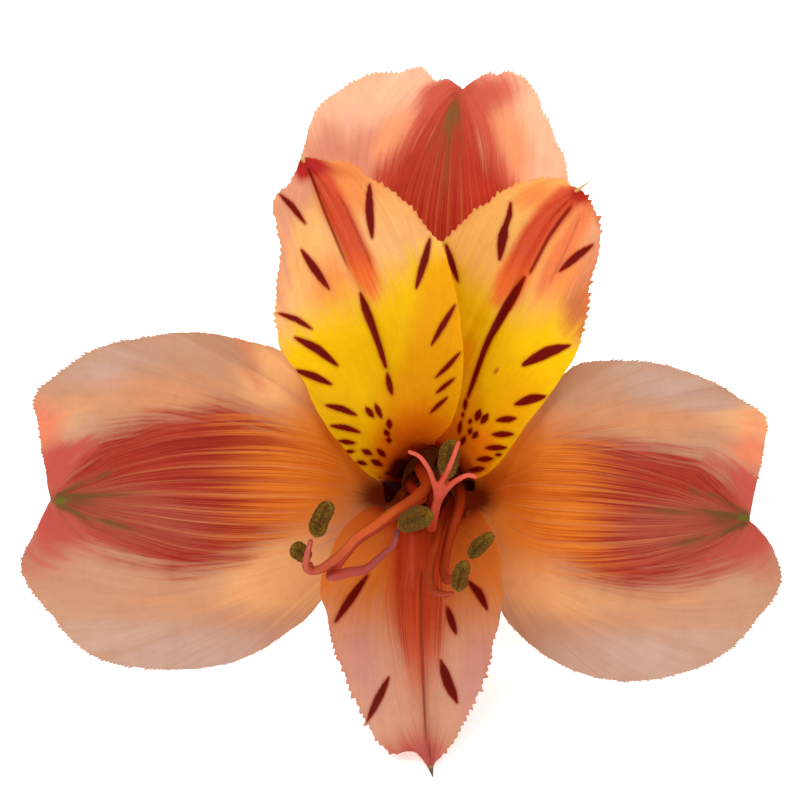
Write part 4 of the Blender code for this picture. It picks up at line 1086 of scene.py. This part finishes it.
def outer_relief(phase, waviness=0.30, free=1.0):
    def relief(t, s, x, y):
        body = step(0.16, 0.40, t) * step(1.0, 0.90, t)
        groove = -0.26 * np.exp(-(s / 0.030) ** 2) * body
        pleat = 0.085 * np.cos(2 * math.pi * (s * 11.5 + 0.5)) * np.exp(-(s / 0.30) ** 2) * body
        swell = 0.16 * np.exp(-((np.abs(s) - 0.11) / 0.07) ** 2) * body
        lobes = 0.24 * noise2(s * 2.3 + phase, t * 4.0 + phase, 3) * step(0.2, 0.7, np.abs(s)) * step(0.30, 0.55, t)
        ruffle = waviness * noise2(np.sign(s) * 5.0 + phase, t * 15.0, 8) * step(0.66, 1.0, np.abs(s)) * step(0.40, 0.62, t)
        fans = 0.030 * noise2(s / (1.0 + 3.0 * t * np.abs(s)) * 70.0, t * 3.0 + phase, 12) * step(0.2, 0.4, t)
        return groove + pleat + swell + (lobes + ruffle) * free * step(1.0, 0.94, t) + fans
    return relief


def leaf_thickness(rim, rib, claw):
    def thick(t, s):
        across = rim + (rib - rim) * (1 - np.abs(s) ** 1.4) * (0.45 + 0.55 * np.exp(-(s / 0.12) ** 2))
        return across + (claw - rib) * step(0.22, 0.0, t) * (1 - 0.4 * s * s)
    return thick


outer_size = ((560, 44))
upper_size = ((280, 110))
lower_size = ((240, 90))

outer_teeth = {"pitch": 4.3, "depth": 3.9, "seed": 11, "from": 0.24, "full": 0.42, "inner": 0.94, "wave": 1.1,
               "fan": 4.0}

verts, faces, attrs = blade("outer_tepal_left", *outer_size, 0.85, 1, leaf_thickness(0.12, 0.34, 0.60),
                            dict(outer_teeth, claw=0.9, mask=lambda t, side, x, y: step(1.0, 0.93, t)),
                            outer_relief(1.3), paint_left)
left_piece = make_piece("petal_outer_left", verts, faces, attrs, "outer_tepal_left")
verts, faces, attrs = blade("outer_tepal_right", *outer_size, 0.85, 1, leaf_thickness(0.12, 0.34, 0.60),
                            dict(outer_teeth, seed=47, claw=0.9, mask=lambda t, side, x, y: step(1.0, 0.93, t)),
                            outer_relief(4.1), paint_right)
right_piece = make_piece("petal_outer_right", verts, faces, attrs, "outer_tepal_right")
verts, faces, attrs = blade("outer_tepal_top", *outer_size, 0.85, 1, leaf_thickness(0.12, 0.34, 0.60),
                            dict(outer_teeth, seed=83, pitch=5.0, claw=0.6,
                                 mask=lambda t, side, x, y: step(1.0, 0.96, t)),
                            outer_relief(7.7), paint_top)
top_piece = make_piece("petal_outer_top", verts, faces, attrs, "outer_tepal_top")

vein_tones = (seen(226, 150, 96), seen(112, 84, 40), 0.55)
TOP_LAYERS = [("rosy", seen(228, 160, 134), 0.50, 0.10, 0.95, "fan"),
              ("warm", seen(247, 176, 128), 0.50, 0.10, 0.95, "fan"),
              ("orange", seen(244, 140, 80), 0.60, 0.10, 0.95, "feather"),
              ("crimson", seen(218, 108, 84), 0.60, 0.10, 0.98, "feather"),
              ("band", (seen(186, 56, 42), seen(206, 86, 58)), 0.60, 0.22, 0.84, "feather"),
              ("blush", seen(220, 72, 52), 0.60, 0.15, 0.95, "band"),
              ("olive", (seen(146, 96, 48), seen(158, 106, 60)), 0.50, 0.15, 0.95, "band"),
              ("green", GREEN, 0.20, 0.20, 0.90, "band"),
              ("deep", seen(226, 128, 40), 0.30, 0.10, 0.95, "fan"),
              # dark: painted shade in the throat over maroon tissue; violet: painted reflection
              ("dark", MAROON, 0.25, 0.08, 0.92, "fan"),
              ("violet", VIOLET_REFLECTION, 0.0, 0.20, 0.80, "fan")]
for piece, seed, base, cloud, layers in (
        (left_piece, 2.0, PEACH, seen(209, 159, 127), OUTER_LAYERS),
        (right_piece, 12.0, PEACH, seen(207, 161, 129), OUTER_LAYERS),
        (top_piece, 22.0, seen(252, 210, 180), seen(249, 196, 158), TOP_LAYERS)):
    piece.data.materials.append(petal_finish("finish_" + piece.name, base, layers, seed,
                                             veins=vein_tones, cloud=cloud))


def upper_relief(phase, ridge_side):
    """Deep folded midrib: a sharp groove with a raised ridge on each side."""
    def relief(t, s, x, y):
        body = step(0.20, 0.45, t) * step(1.0, 0.93, t)
        strong = 0.35 + 0.65 * step(0.40, 0.75, t)
        groove = -0.40 * np.exp(-(s / 0.035) ** 2) * body * strong
        ridge = 0.26 * np.exp(-((s - 0.13 * ridge_side) / 0.07) ** 2) * body * strong
        other = 0.20 * np.exp(-((s + 0.14 * ridge_side) / 0.08) ** 2) * body * strong
        second = -0.14 * np.exp(-((s - 0.27 * ridge_side) / 0.04) ** 2) * body * strong
        ruffle = 0.22 * noise2(np.sign(s) * 3.0 + phase, t * 13.0, 5) * step(0.70, 1.0, np.abs(s)) * step(0.55, 0.75, t)
        fans = 0.035 * noise2(s / (1.0 + 3.0 * t * np.abs(s)) * 56.0, t * 3.0 + phase, 15) * step(0.2, 0.4, t)
        return groove + ridge + other + second + ruffle * step(1.0, 0.94, t) + fans
    return relief


inner_teeth = {"pitch": 7.6, "depth": 5.0, "seed": 131, "from": 0.30, "full": 0.40, "inner": 0.92, "wave": 1.2,
               "fan": 3.0, "claw": 0.45}


def teeth_upper_left(t, side, x, y):
    return step(350, 318, y) if side < 0 else step(268, 240, y)


def teeth_upper_right(t, side, x, y):
    return step(272, 244, y) if side < 0 else step(356, 326, y)


verts, faces, attrs = blade("inner_tepal_upper_left", *upper_size, 0.70, 1, leaf_thickness(0.12, 0.36, 0.60),
                            dict(inner_teeth, mask=teeth_upper_left), upper_relief(2.2, 1.0), paint_upper_left,
                            spikes=[((-127.5, 334, 1.1), (-130.5, 345, 1.6), 0.16)])
upper_left = make_piece("petal_inner_upper_left", verts, faces, attrs, "inner_tepal_upper_left")
verts, faces, attrs = blade("inner_tepal_upper_right", *upper_size, 0.70, 1, leaf_thickness(0.12, 0.36, 0.60),
                            dict(inner_teeth, seed=171, mask=teeth_upper_right), upper_relief(6.0, -1.0),
                            paint_upper_right,
                            spikes=[((144, 306, 0.9), (160, 317, 1.4), 0.20)])
upper_right = make_piece("petal_inner_upper_right", verts, faces, attrs, "inner_tepal_upper_right")

MAROON_OUT, MAROON_CORE = seen(162, 30, 0), seen(122, 12, 0)
upper_layers = [
    ("rosy", seen(236, 172, 138), 0.45, 0.10, 0.90, "fan"),
    ("warm", seen(250, 166, 92), 0.45, 0.10, 0.95, "fan"),
    ("tan", seen(218, 134, 80), 0.45, 0.10, 0.95, "fan"),
    ("yellow", seen(255, 216, 0), 0.40, 0.12, 0.88, "fan"),
    # amber: partly painted shade where the two upper tepals overlap
    ("amber", seen(252, 192, 0), 0.25, 0.15, 0.90, "fan"),
    ("deep", seen(252, 152, 14), 0.30, 0.08, 0.95, "fan"),
    ("fold_end", (seen(254, 140, 62), seen(248, 120, 54)), 0.40, 0.10, 0.95, "band"),
    ("fold", (seen(220, 82, 48), seen(238, 116, 72)), 0.40, 0.15, 0.88, "band"),
    ("glint", seen(240, 112, 66), 0.20, 0.10, 0.95, "band"),
    ("blush", seen(200, 48, 40), 0.25, 0.15, 0.90, "fan"),
    # line: partly painted shade in the crease of the fold
    ("line", seen(150, 34, 16), 0.15, 0.15, 0.95, "band"),
    ("edge", seen(230, 140, 96), 0.25, 0.30, 1.90, "fine"),
    # brownish: painted highlight along the left tepal's rolled margin; a small brown mark on the right tepal
    ("brownish", seen(214, 118, 36), 0.1, 0.2, 0.8, "band"),
    # claw: painted shade on the claws deep in the throat
    ("claw", seen(120, 48, 16), 0.0, 0.15, 0.90, "fan"),
    # dark: painted shade in the throat over maroon tissue; violet: painted reflection
    ("dark", MAROON, 0.15, 0.10, 0.90, "fan"),
    ("violet", VIOLET_REFLECTION, 0.0, 0.20, 0.80, "fan"),
    ("point", seen(226, 200, 120), 0.0, 0.10, 0.60, "fan"),
]
upper_left.data.materials.append(petal_finish(
    "finish_" + upper_left.name, seen(253, 206, 136), upper_layers, 31.0,
    streak=(MAROON_OUT, MAROON_CORE), cloud=seen(253, 196, 116)))
upper_right.data.materials.append(petal_finish(
    "finish_" + upper_right.name, seen(253, 204, 116),
    upper_layers[:8] + [("beside", (seen(240, 136, 80), seen(247, 158, 104)), 0.4, 0.15, 0.88, "band")]
    + upper_layers[8:], 41.0,
    streak=(MAROON_OUT, MAROON_CORE), cloud=seen(252, 194, 100)))


def lower_relief(t, s, x, y):
    body = step(0.25, 0.45, t) * step(1.0, 0.95, t)
    groove = -0.22 * np.exp(-(s / 0.030) ** 2) * body
    ribs = 0.16 * np.exp(-((np.abs(s) - 0.16) / 0.07) ** 2) * body
    ruffle = 0.32 * noise2(np.sign(s) * 3.0 + 1.0, t * 12.0, 25) * step(0.66, 1.0, np.abs(s)) * step(0.45, 0.65, t)
    fans = 0.035 * noise2(s / (1.0 + 3.0 * t * np.abs(s)) * 50.0, t * 3.0, 28) * step(0.2, 0.4, t)
    return groove + ribs + ruffle * step(1.0, 0.94, t) + fans


verts, faces, attrs = blade("inner_tepal_lower", *lower_size, 0.70, -1, leaf_thickness(0.12, 0.36, 0.60),
                            {"pitch": 7.4, "depth": 5.6, "seed": 211, "from": 0.30, "full": 0.40, "inner": 0.92,
                             "wave": 1.4, "fan": 3.0, "claw": 0.2,
                             "mask": lambda t, side, x, y: step(612, 650, y)},
                            lower_relief, paint_lower,
                            spikes=[((-1, -268, 10.6), (0.5, -279, 10.9), 0.22)])
lower = make_piece("petal_inner_lower", verts, faces, attrs, "inner_tepal_lower")
lower.data.materials.append(petal_finish(
    "finish_" + lower.name, seen(228, 178, 148),
    [("rosy", seen(222, 164, 148), 0.35, 0.15, 0.90, "fan"),
     ("warm", seen(226, 152, 104), 0.35, 0.10, 1.00, "fan"),
     ("orange", seen(232, 140, 56), 0.30, 0.05, 1.00, "fan"),
     ("deep", seen(234, 118, 38), 0.30, 0.15, 0.95, "fan"),
     ("band", (seen(206, 70, 32), seen(222, 104, 58)), 0.60, 0.15, 0.95, "band"),
     ("blush", seen(190, 54, 22), 0.60, 0.10, 0.95, "band"),
     ("glint", seen(226, 116, 92), 0.25, 0.10, 0.95, "band"),
     ("line", seen(140, 52, 34), 0.20, 0.15, 0.95, "band"),
     ("crimson", seen(208, 106, 94), 0.40, 0.10, 0.98, "fan"),
     ("edge", seen(208, 130, 120), 0.25, 0.30, 1.90, "fine"),
     # dark: painted shade in the throat over maroon tissue
     ("dark", MAROON, 0.15, 0.10, 0.90, "fan"),
     ("point", seen(104, 96, 56), 0.0, 0.10, 0.60, "fan")],
    51.0, streak=(seen(156, 36, 16), seen(116, 16, 6)), cloud=seen(226, 172, 140)))


# ------------------------------------------------------------------ stamens
def thread_finish(name, body, end, shade, seed):
    g = Graph(name)
    place = g.place()
    grain = g.noise(g.vector(g.math("MULTIPLY", g.attribute("around"), 3.0),
                             g.math("MULTIPLY", g.attribute("t"), 9.0), seed), 1.0, 3.0, 0.6)
    spot = g.noise(place, 2600.0, 2.0, 0.6)
    col = g.mix(g.ramp(g.math("ADD", g.attribute("t"), g.math("MULTIPLY", g.math("SUBTRACT", grain, 0.5), 0.15)),
                       0.72, 1.0), body, end)
    # painted shade: darker where the thread turns away from the face
    col = g.mix(g.ramp(g.attribute("facing_for_shade"), 0.88, 0.15, 0.0, 0.85), col, shade)
    col = g.mix(g.ramp(grain, 0.35, 0.75, 0.0, 0.16), col, g.mix(1.0, col, (1.22, 1.18, 1.1, 1), "MULTIPLY"))
    col = g.mix(g.ramp(spot, 0.40, 0.72, 0.0, 0.22), col, g.mix(1.0, col, (0.80, 0.72, 0.70, 1), "MULTIPLY"))
    col = g.mix(g.math("MULTIPLY", g.attribute("tip"), 1.0), col, seen(96, 48, 62))
    # painted shade: the lower column darkens where it turns back into the throat
    if name == "finish_style":
        col = g.mix(g.ramp(g.attribute("t"), 0.61, 0.49), col, seen(180, 56, 24))
    height = g.math("ADD", g.math("MULTIPLY", grain, 0.3), g.math("MULTIPLY", spot, 0.5))
    return g.finish(col, 0.42, g.bump(height, 0.25, 0.00005), g.gamma(col, 0.7), 0.22, specular=0.22)


def filament(number, angle, way):
    turn = math.radians(angle)
    base = (STAMEN_RING * math.cos(turn), RING_V + STAMEN_RING * math.sin(turn), RING_D + 0.3)
    path = smooth_path([world(p) for p in [base] + way], 20)
    n = 120
    path = by_length(path, np.linspace(0, 1, n))
    t = np.linspace(0, 1, n)
    radius = FILAMENT_D / 2 * (1.04 - 0.12 * t - 0.52 * np.clip((t - 0.84) / 0.16, 0, 1) ** 1.3
                               + 0.035 * noise1(t * 14.0 + number, 3))

    def shape(ang, ti):
        return 1.0 + 0.05 * np.cos(2 * ang + 5.0 * ti) + 0.02 * np.cos(5 * ang + 9 * ti + number)
    v, f, tt, aa, nn = tube(path, radius, 24, shape)
    # how far each point faces out of the face, for the painted shade on the sides
    facing_for_shade = np.clip(nn @ OUT, 0, 1)
    tip = step(0.985, 1.0, tt) * (1.0 if number == 2 else 0.0)
    piece = make_piece("stamen_thread_%d" % number, v, f,
                       {"t": tt, "around": np.sin(aa) * 2 + aa, "facing_for_shade": facing_for_shade, "tip": tip},
                       "filament_%d" % number)
    return piece


thread_body = {1: (228, 100, 32), 2: (204, 72, 44), 3: (226, 96, 34), 4: (200, 80, 30), 5: (216, 92, 42), 6: (216, 90, 40)}
thread_end = {1: (206, 92, 74), 2: (150, 60, 60), 3: (196, 84, 60), 4: (170, 80, 30), 5: (206, 96, 60), 6: (190, 90, 56)}
for number, (angle, way) in FILAMENTS.items():
    piece = filament(number, angle, way)
    piece.data.materials.append(thread_finish("finish_thread_%d" % number, seen(*thread_body[number]),
                                              seen(*thread_end[number]), seen(160, 44, 14), 3.0 * number))


def pollen_finish(name, seed):
    g = Graph(name)
    place = g.place()
    big = g.noise(place, 900.0, 3.0, 0.6)
    grain = g.cells(place, 9000.0)
    col = g.mix(g.ramp(g.attribute("grain"), 0.05, 0.85), seen(80, 50, 6), seen(114, 82, 14))
    # painted highlight on the tops of the pollen grains
    col = g.mix(g.ramp(g.math("ADD", g.attribute("grain"), g.math("MULTIPLY", g.math("SUBTRACT", big, 0.5), 0.8)),
                       0.65, 1.20), col, seen(136, 104, 20))
    col = g.mix(g.ramp(big, 0.40, 0.68, 0.0, 0.55), col, seen(98, 54, 6))
    col = g.mix(g.ramp(grain, 0.10, 0.50, 0.25, 0.0), col, seen(70, 48, 10))
    # painted shade: darker round the rims of the pollen sacs, where they turn from the face
    col = g.mix(g.ramp(g.attribute("facing_for_shade"), 0.80, 0.10, 0.0, 0.55), col, seen(80, 50, 10))
    col = g.mix(g.attribute("groove"), col, seen(64, 44, 10))
    height = g.math("MULTIPLY", grain, -0.8)
    return g.finish(col, g.ramp(big, 0.2, 0.8, 0.78, 0.95), g.bump(height, 0.6, 0.00004), specular=0.08, sheen=0.02)


def anther(number, base, tip, width, thick):
    """Two pollen sacs side by side, each covered in pollen grains."""
    p0, p1 = world(base), world(tip)
    axis = p1 - p0
    length = np.linalg.norm(axis)
    axis /= length
    side = np.cross(axis, OUT)
    side /= np.linalg.norm(side)
    up = np.cross(side, axis)
    rings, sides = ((90, 100))
    rng = np.random.default_rng(500 + number)
    x = 0.5 - 0.5 * np.cos(np.linspace(0, math.pi, rings + 1))[1:-1]
    ang = np.linspace(0, 2 * math.pi, sides, endpoint=False)
    X, A = np.meshgrid(x, ang, indexing="ij")
    swell = (1 - np.abs(2 * X - 1) ** 2.4) ** 0.5
    swell *= 1.0 + 0.05 * np.sin(7.0 * X + number) + 0.05 * noise2(X * 4.0, np.cos(A) * 1.5, 60 + number)
    groove = np.exp(-((np.cos(A) / 0.22) ** 2))
    dent = 1.0 - 0.34 * groove * step(0.02, 0.2, X) * step(1.0, 0.75, X)
    bend = 0.05 * length * (4 * (X - 0.5) ** 2 - 1.0)
    pos = (p0 + axis * (length * X)[..., None]
           + side * (np.cos(A) * width * MM / 2 * swell * (1 + 0.03 * np.sin(9 * X)) + bend * 0.6)[..., None]
           + up * (np.sin(A) * thick * MM / 2 * swell * dent)[..., None])
    flat = pos.reshape(-1, 3)
    centre = (p0 + axis * (length * X)[..., None]).reshape(-1, 3)
    out = flat - centre
    out /= np.linalg.norm(out, axis=1, keepdims=True) + 1e-12
    # pollen grains: bumps round seeds scattered over the sacs
    seeds = flat[rng.choice(len(flat), 900, replace=False)]
    near = np.full(len(flat), 1.0)
    for k in range(0, len(seeds), 100):
        d = np.linalg.norm(flat[:, None] - seeds[None, k:k + 100], axis=2).min(1)
        near = np.minimum(near, d)
    radius = 0.070 * MM
    grain = np.clip(1 - (near / radius) ** 2, 0, 1) ** 0.5
    lump = noise2(X * 16.0, A * 3.0, 70 + number).reshape(-1)
    flat = flat + out * ((grain * 0.050 + 0.05 * lump - 0.02) * MM)[:, None]
    n = rings - 1
    verts = np.vstack([flat, p0, p1])
    faces = []
    for i in range(n - 1):
        for k in range(sides):
            k2 = (k + 1) % sides
            faces.append((i * sides + k, (i + 1) * sides + k, (i + 1) * sides + k2, i * sides + k2))
    for k in range(sides):
        k2 = (k + 1) % sides
        faces.append((n * sides, k, k2))
        faces.append((n * sides + 1, (n - 1) * sides + k2, (n - 1) * sides + k))
    g = np.concatenate([grain, [0.3, 0.3]])
    gr = np.concatenate([(groove * step(0.02, 0.2, X) * step(1.0, 0.75, X)).ravel() * 0.55, [0, 0]])
    # how far each point faces out of the face, for the painted shade on the rims
    facing_for_shade = np.concatenate([np.clip(out @ OUT, 0, 1), [0.0, 0.0]])
    piece = make_piece("pollen_sacs_%d" % number, verts, faces, {"grain": g, "groove": gr, "facing_for_shade": facing_for_shade},
                       "anther_%d" % number, sharp=None)
    face_outwards(piece)
    return piece


for number, (base, tip, width, thick) in ANTHERS.items():
    piece = anther(number, base, tip, width, thick)
    piece.data.materials.append(pollen_finish("finish_pollen_%d" % number, number))


# ------------------------------------------------------------------ style
def style():
    """Column and three stigma lobes grown together into one skin."""
    parts = []
    path = by_length(smooth_path([world(p) for p in STYLE_PATH], 20), np.linspace(0, 1, 110))
    t = np.linspace(0, 1, 110)
    parts.append(tube(path, STYLE_D / 2 * (1.0 - 0.06 * t), 24)[:2])
    ways = []
    for number, way in enumerate(STIGMA_LOBES):
        p = by_length(smooth_path([world(q) for q in way], 20), np.linspace(0, 1, 60))
        tt = np.linspace(0, 1, 60)
        r = LOBE_D / 2 * (1.06 + 0.04 * number - 0.42 * tt ** 1.4 + 0.05 * noise1(tt * 9 + number, 4))
        parts.append(tube(p, r, 18)[:2])
        ways.append(p)
    verts, faces = [], []
    for v, f in parts:
        base = len(verts)
        verts += (v * 1000.0).tolist()
        faces += [tuple(i + base for i in q) for q in f]
    mesh = bpy.data.meshes.new("style_raw")
    mesh.from_pydata(verts, [], faces)
    mesh.update()
    raw = bpy.data.objects.new("style_raw", mesh)
    bpy.context.scene.collection.objects.link(raw)
    skin = raw.modifiers.new("skin", "REMESH")
    skin.mode = "VOXEL"
    skin.voxel_size = 0.115
    ease = raw.modifiers.new("ease", "SMOOTH")
    ease.iterations = 6
    ease.factor = 0.5
    ready = raw.evaluated_get(bpy.context.evaluated_depsgraph_get())
    done = ready.to_mesh()
    n = len(done.vertices)
    co = np.empty(n * 3)
    done.vertices.foreach_get("co", co)
    no = np.empty(n * 3)
    done.vertices.foreach_get("normal", no)
    co, no = co.reshape(-1, 3) / 1000.0, no.reshape(-1, 3)
    polys = [tuple(p.vertices) for p in done.polygons]
    ready.to_mesh_clear()
    bpy.data.objects.remove(raw, do_unlink=True)
    bpy.data.meshes.remove(mesh)
    along = np.zeros(n)
    best = np.full(n, 1e9)
    for k, p in enumerate([path] + ways):
        for i in range(0, len(p), 3):
            d = np.linalg.norm(co - p[i], axis=1)
            hit = d < best
            best = np.where(hit, d, best)
            frac = i / (len(p) - 1)
            along = np.where(hit, 0.62 * frac if k == 0 else 0.62 + 0.38 * frac, along)
    # how far each point faces out of the face, for the painted shade on the sides
    facing_for_shade = np.clip(no @ OUT, 0, 1)
    return make_piece("style_column", co, polys, {"t": along, "around": co[:, 0] * 900.0, "facing_for_shade": facing_for_shade,
                                                  "tip": np.zeros(n)}, "style", sharp=None)


style_piece = style()
style_piece.data.materials.append(thread_finish("finish_style", seen(212, 78, 48), seen(232, 96, 72),
                                                seen(168, 44, 24), 77.0))


# ------------------------------------------------------------------ ovary and stalk
def axis_of_ovary():
    out = -OUT
    start = world((0, RING_V, RING_D)) + out * (TEPAL_THICK / 2 + JOINT_GAP)
    slope = math.radians(17.0)
    flat = np.array([0.0, math.cos(slope), -math.sin(slope)])
    end = start + 0.5 * OVARY_LENGTH * (out + flat)
    return smooth_path([start, start + out * OVARY_LENGTH * 0.45, end]), end, flat


def green_finish(name, light, dark, ridge, seed, stretch):
    g = Graph(name)
    place = g.place()
    run = g.noise(g.vector(g.math("MULTIPLY", g.attribute("around"), stretch), g.math("MULTIPLY", g.attribute("t"), 5.0),
                           seed), 1.0, 4.0, 0.6)
    dots = g.noise(place, 3400.0, 2.0, 0.6)
    wide = g.noise(place, 260.0, 3.0, 0.5)
    col = g.mix(g.ramp(run, 0.30, 0.72), light, dark)
    col = g.mix(g.attribute("ridge"), col, ridge)
    col = g.mix(g.ramp(wide, 0.40, 0.70, 0.0, 0.45), col, seen(128, 84, 60))
    col = g.mix(g.ramp(dots, 0.45, 0.75, 0.0, 0.40), col, g.mix(1.0, col, (0.66, 0.70, 0.55, 1), "MULTIPLY"))
    col = g.mix(g.attribute("cut"), col, seen(206, 214, 150))
    # the top of the ovary, deep in the throat, is painted bright orange, brighter than its tissue: painted light in the
    # shaded throat
    if name == "finish_ovary":
        col = g.mix(g.ramp(g.attribute("t"), 0.012, 0.003), col, seen(250, 150, 50))
    height = g.math("ADD", g.math("MULTIPLY", run, 0.9), g.math("MULTIPLY", dots, 0.4))
    return g.finish(col, g.ramp(wide, 0.3, 0.7, 0.40, 0.52), g.bump(height, 0.5, 0.00007), g.gamma(col, 0.7), 0.10,
                    specular=0.25, coat=0.05)


def ovary():
    path, _, _ = axis_of_ovary()
    n = 150
    path = by_length(path, np.linspace(0, 1, n))
    lead = path[0] - path[1]
    lead /= np.linalg.norm(lead)
    path = np.vstack([path[0] + lead * 0.34 * MM, path])
    t = np.linspace(0, 1, n + 1)
    radius = OVARY_TOP_R * np.interp(t, [0.0, 0.03, 0.10, 0.20, 0.35, 0.55, 0.75, 0.90, 1.0],
                                     [0.985, 0.995, 1.0, 1.0, 0.93, 0.76, 0.55, 0.40, OVARY_END_R / OVARY_TOP_R])

    def ribbed(ang, ti):
        depth = 0.095 * math.sin(math.pi * min(1.0, 0.15 + 0.85 * ti)) ** 0.5
        wave = (0.5 - 0.5 * np.cos(RIBS * ang)) ** 0.8
        return 1.0 - depth * wave + 0.006 * np.cos(30 * ang)
    v, f, tt, aa, nn = tube(path, radius, 96, ribbed, cap=4)
    ridge = (0.5 + 0.5 * np.cos(RIBS * aa)) ** 6 * 0.75
    return make_piece("ovary_body", v, f, {"t": tt, "around": aa, "ridge": ridge, "cut": np.zeros(len(tt))},
                      "ovary")


def pedicel():
    _, end, flat = axis_of_ovary()
    start = end - flat * 0.25 * MM
    rest = STALK_R
    y_end = STALK_REACH - CENTRE_Y
    begin = end + flat * JOINT_GAP
    knots = [start, begin, begin + flat * 4.0 * MM,
             np.array([begin[0] + 0.35 * MM, begin[1] + 10.5 * MM, rest + 0.30 * MM]),
             np.array([begin[0] + 1.0 * MM, begin[1] + 17.0 * MM, rest]),
             np.array([begin[0] + 2.2 * MM, begin[1] + 27.0 * MM, rest]),
             np.array([begin[0] + 3.4 * MM, begin[1] + 37.0 * MM, rest]),
             np.array([begin[0] + 3.9 * MM, y_end, rest])]
    n = 150
    path = by_length(smooth_path(knots), np.linspace(0, 1, n))
    path[:, 2] = np.maximum(path[:, 2], rest)
    t = np.linspace(0, 1, n)
    radius = STALK_R * (1.0 + 0.17 * np.exp(-(t / 0.06) ** 2) + 0.012 * noise1(t * 30, 6) - 0.02)

    def shape(ang, ti):
        return 1.0 - 0.035 * (0.5 - 0.5 * np.cos(6 * ang + 1.2 * ti)) + 0.008 * np.cos(17 * ang)
    a, b, tang = frames_along(path)
    sides = 48
    ang = np.linspace(0, 2 * math.pi, sides, endpoint=False)
    rings, tt, aa, cut = [], [], [], []
    for i in range(n):
        dirs = np.cos(ang)[:, None] * a[i] + np.sin(ang)[:, None] * b[i]
        rings.append(path[i] + dirs * (radius[i] * shape(ang, t[i]))[:, None])
        tt.append(np.full(sides, t[i])); aa.append(ang); cut.append(np.zeros(sides))
    # the cut end: a crisp rim, then a slightly sunken pale pith
    for share, sink in ((0.97, 0.0), (0.88, -0.02), (0.80, -0.05), (0.60, -0.03), (0.40, -0.04), (0.20, -0.03)):
        dirs = np.cos(ang)[:, None] * a[-1] + np.sin(ang)[:, None] * b[-1]
        rings.append(path[-1] + tang[-1] * (sink * MM) + dirs * (radius[-1] * share * shape(ang, 1.0))[:, None])
        tt.append(np.full(sides, 1.0)); aa.append(ang); cut.append(np.full(sides, 1.0 if share < 0.9 else 0.45))
    m = len(rings)
    verts = np.concatenate(rings)
    faces = []
    for i in range(m - 1):
        for k in range(sides):
            k2 = (k + 1) % sides
            faces.append((i * sides + k, i * sides + k2, (i + 1) * sides + k2, (i + 1) * sides + k))
    first, last = len(verts), len(verts) + 1
    verts = np.vstack([verts, verts[:sides].mean(0), verts[-sides:].mean(0)])
    for k in range(sides):
        k2 = (k + 1) % sides
        faces.append((k2, k, first))
        faces.append(((m - 1) * sides + k, (m - 1) * sides + k2, last))
    verts[:, 2] = np.maximum(verts[:, 2], 0.00002)
    tt = np.concatenate(tt + [[0.0, 1.0]])
    aa = np.concatenate(aa + [[0.0, 0.0]])
    cut = np.concatenate(cut + [[0.0, 1.0]])
    ridge = (0.5 + 0.5 * np.cos(6 * aa + 1.2 * tt)) ** 4 * 0.35
    return make_piece("stalk_cut", verts, faces, {"t": tt * 4.0, "around": aa, "ridge": ridge, "cut": cut},
                      "pedicel")


ovary_piece = ovary()
ovary_piece.data.materials.append(green_finish("finish_ovary", seen(132, 146, 66), seen(92, 112, 44),
                                               seen(84, 98, 36), 5.0, 9.0))
stalk_piece = pedicel()
stalk_piece.data.materials.append(green_finish("finish_stalk", seen(140, 158, 78), seen(104, 126, 54),
                                               seen(96, 112, 44), 8.0, 7.0))


# ------------------------------------------------------------------ studio
def floor():
    size = 10.0
    verts = [(-size, -size, 0.0), (size, -size, 0.0), (size, size, 0.0), (-size, size, 0.0)]
    mesh = bpy.data.meshes.new("studio_floor")
    mesh.from_pydata(verts, [], [(0, 1, 2, 3)])
    mesh.update()
    plane = bpy.data.objects.new("studio_floor", mesh)
    bpy.context.scene.collection.objects.link(plane)
    g = Graph("finish_floor")
    cloud = g.noise(g.place(), 3.0, 2.0, 0.5)
    col = g.mix(g.ramp(cloud, 0.3, 0.7), (0.93, 0.93, 0.93, 1), (0.95, 0.95, 0.95, 1))
    mat = g.finish(col, 0.9, specular=0.0)
    body = [n for n in g.tree.nodes if n.type == "BSDF_PRINCIPLED"][0]
    body.inputs["Emission Color"].default_value = (1, 1, 1, 1)
    body.inputs["Emission Strength"].default_value = 0.45
    mesh.materials.append(mat)


floor()


def area_light(name, place, aim, size, watts, colour=(1, 1, 1)):
    light = bpy.data.lights.new(name, "AREA")
    light.shape = "SQUARE"
    light.size = size
    light.energy = watts
    light.color = colour
    lamp = bpy.data.objects.new(name, light)
    bpy.context.scene.collection.objects.link(lamp)
    lamp.location = place
    lamp.rotation_euler = (Vector(aim) - Vector(place)).to_track_quat("-Z", "Y").to_euler()
    lamp.visible_camera = False
    return lamp


middle = world((0, 0, 0))
area_light("key", (-0.55, -0.75, 1.05), middle, 0.9, 7.0)
area_light("fill", (0.9, -0.8, 0.7), middle, 0.9, 2.5)
area_light("behind", (0.15, 1.0, 0.55), middle, 0.8, 8.0, (1.0, 0.98, 0.95))

studio = bpy.data.worlds.new("studio")
studio.use_nodes = True
back = studio.node_tree.nodes["Background"]
back.inputs["Color"].default_value = (1.0, 1.0, 1.0, 1.0)
back.inputs["Strength"].default_value = 0.85
bpy.context.scene.world = studio
bpy.context.scene.view_settings.view_transform = "Standard"

# the camera looks straight at the face, a long way off
target = world((-32.0, 97.0, 0.0))
lens = bpy.data.cameras.new("camera")
lens.sensor_width = 36.0
lens.lens = 36.0 * 2.0 / 0.0732
lens.clip_start = 0.05
lens.clip_end = 30.0
camera = bpy.data.objects.new("camera", lens)
bpy.context.scene.collection.objects.link(camera)
camera.location = target + OUT * 2.0
camera.rotation_euler = (math.radians(62.0), 0.0, 0.0)
bpy.context.scene.camera = camera
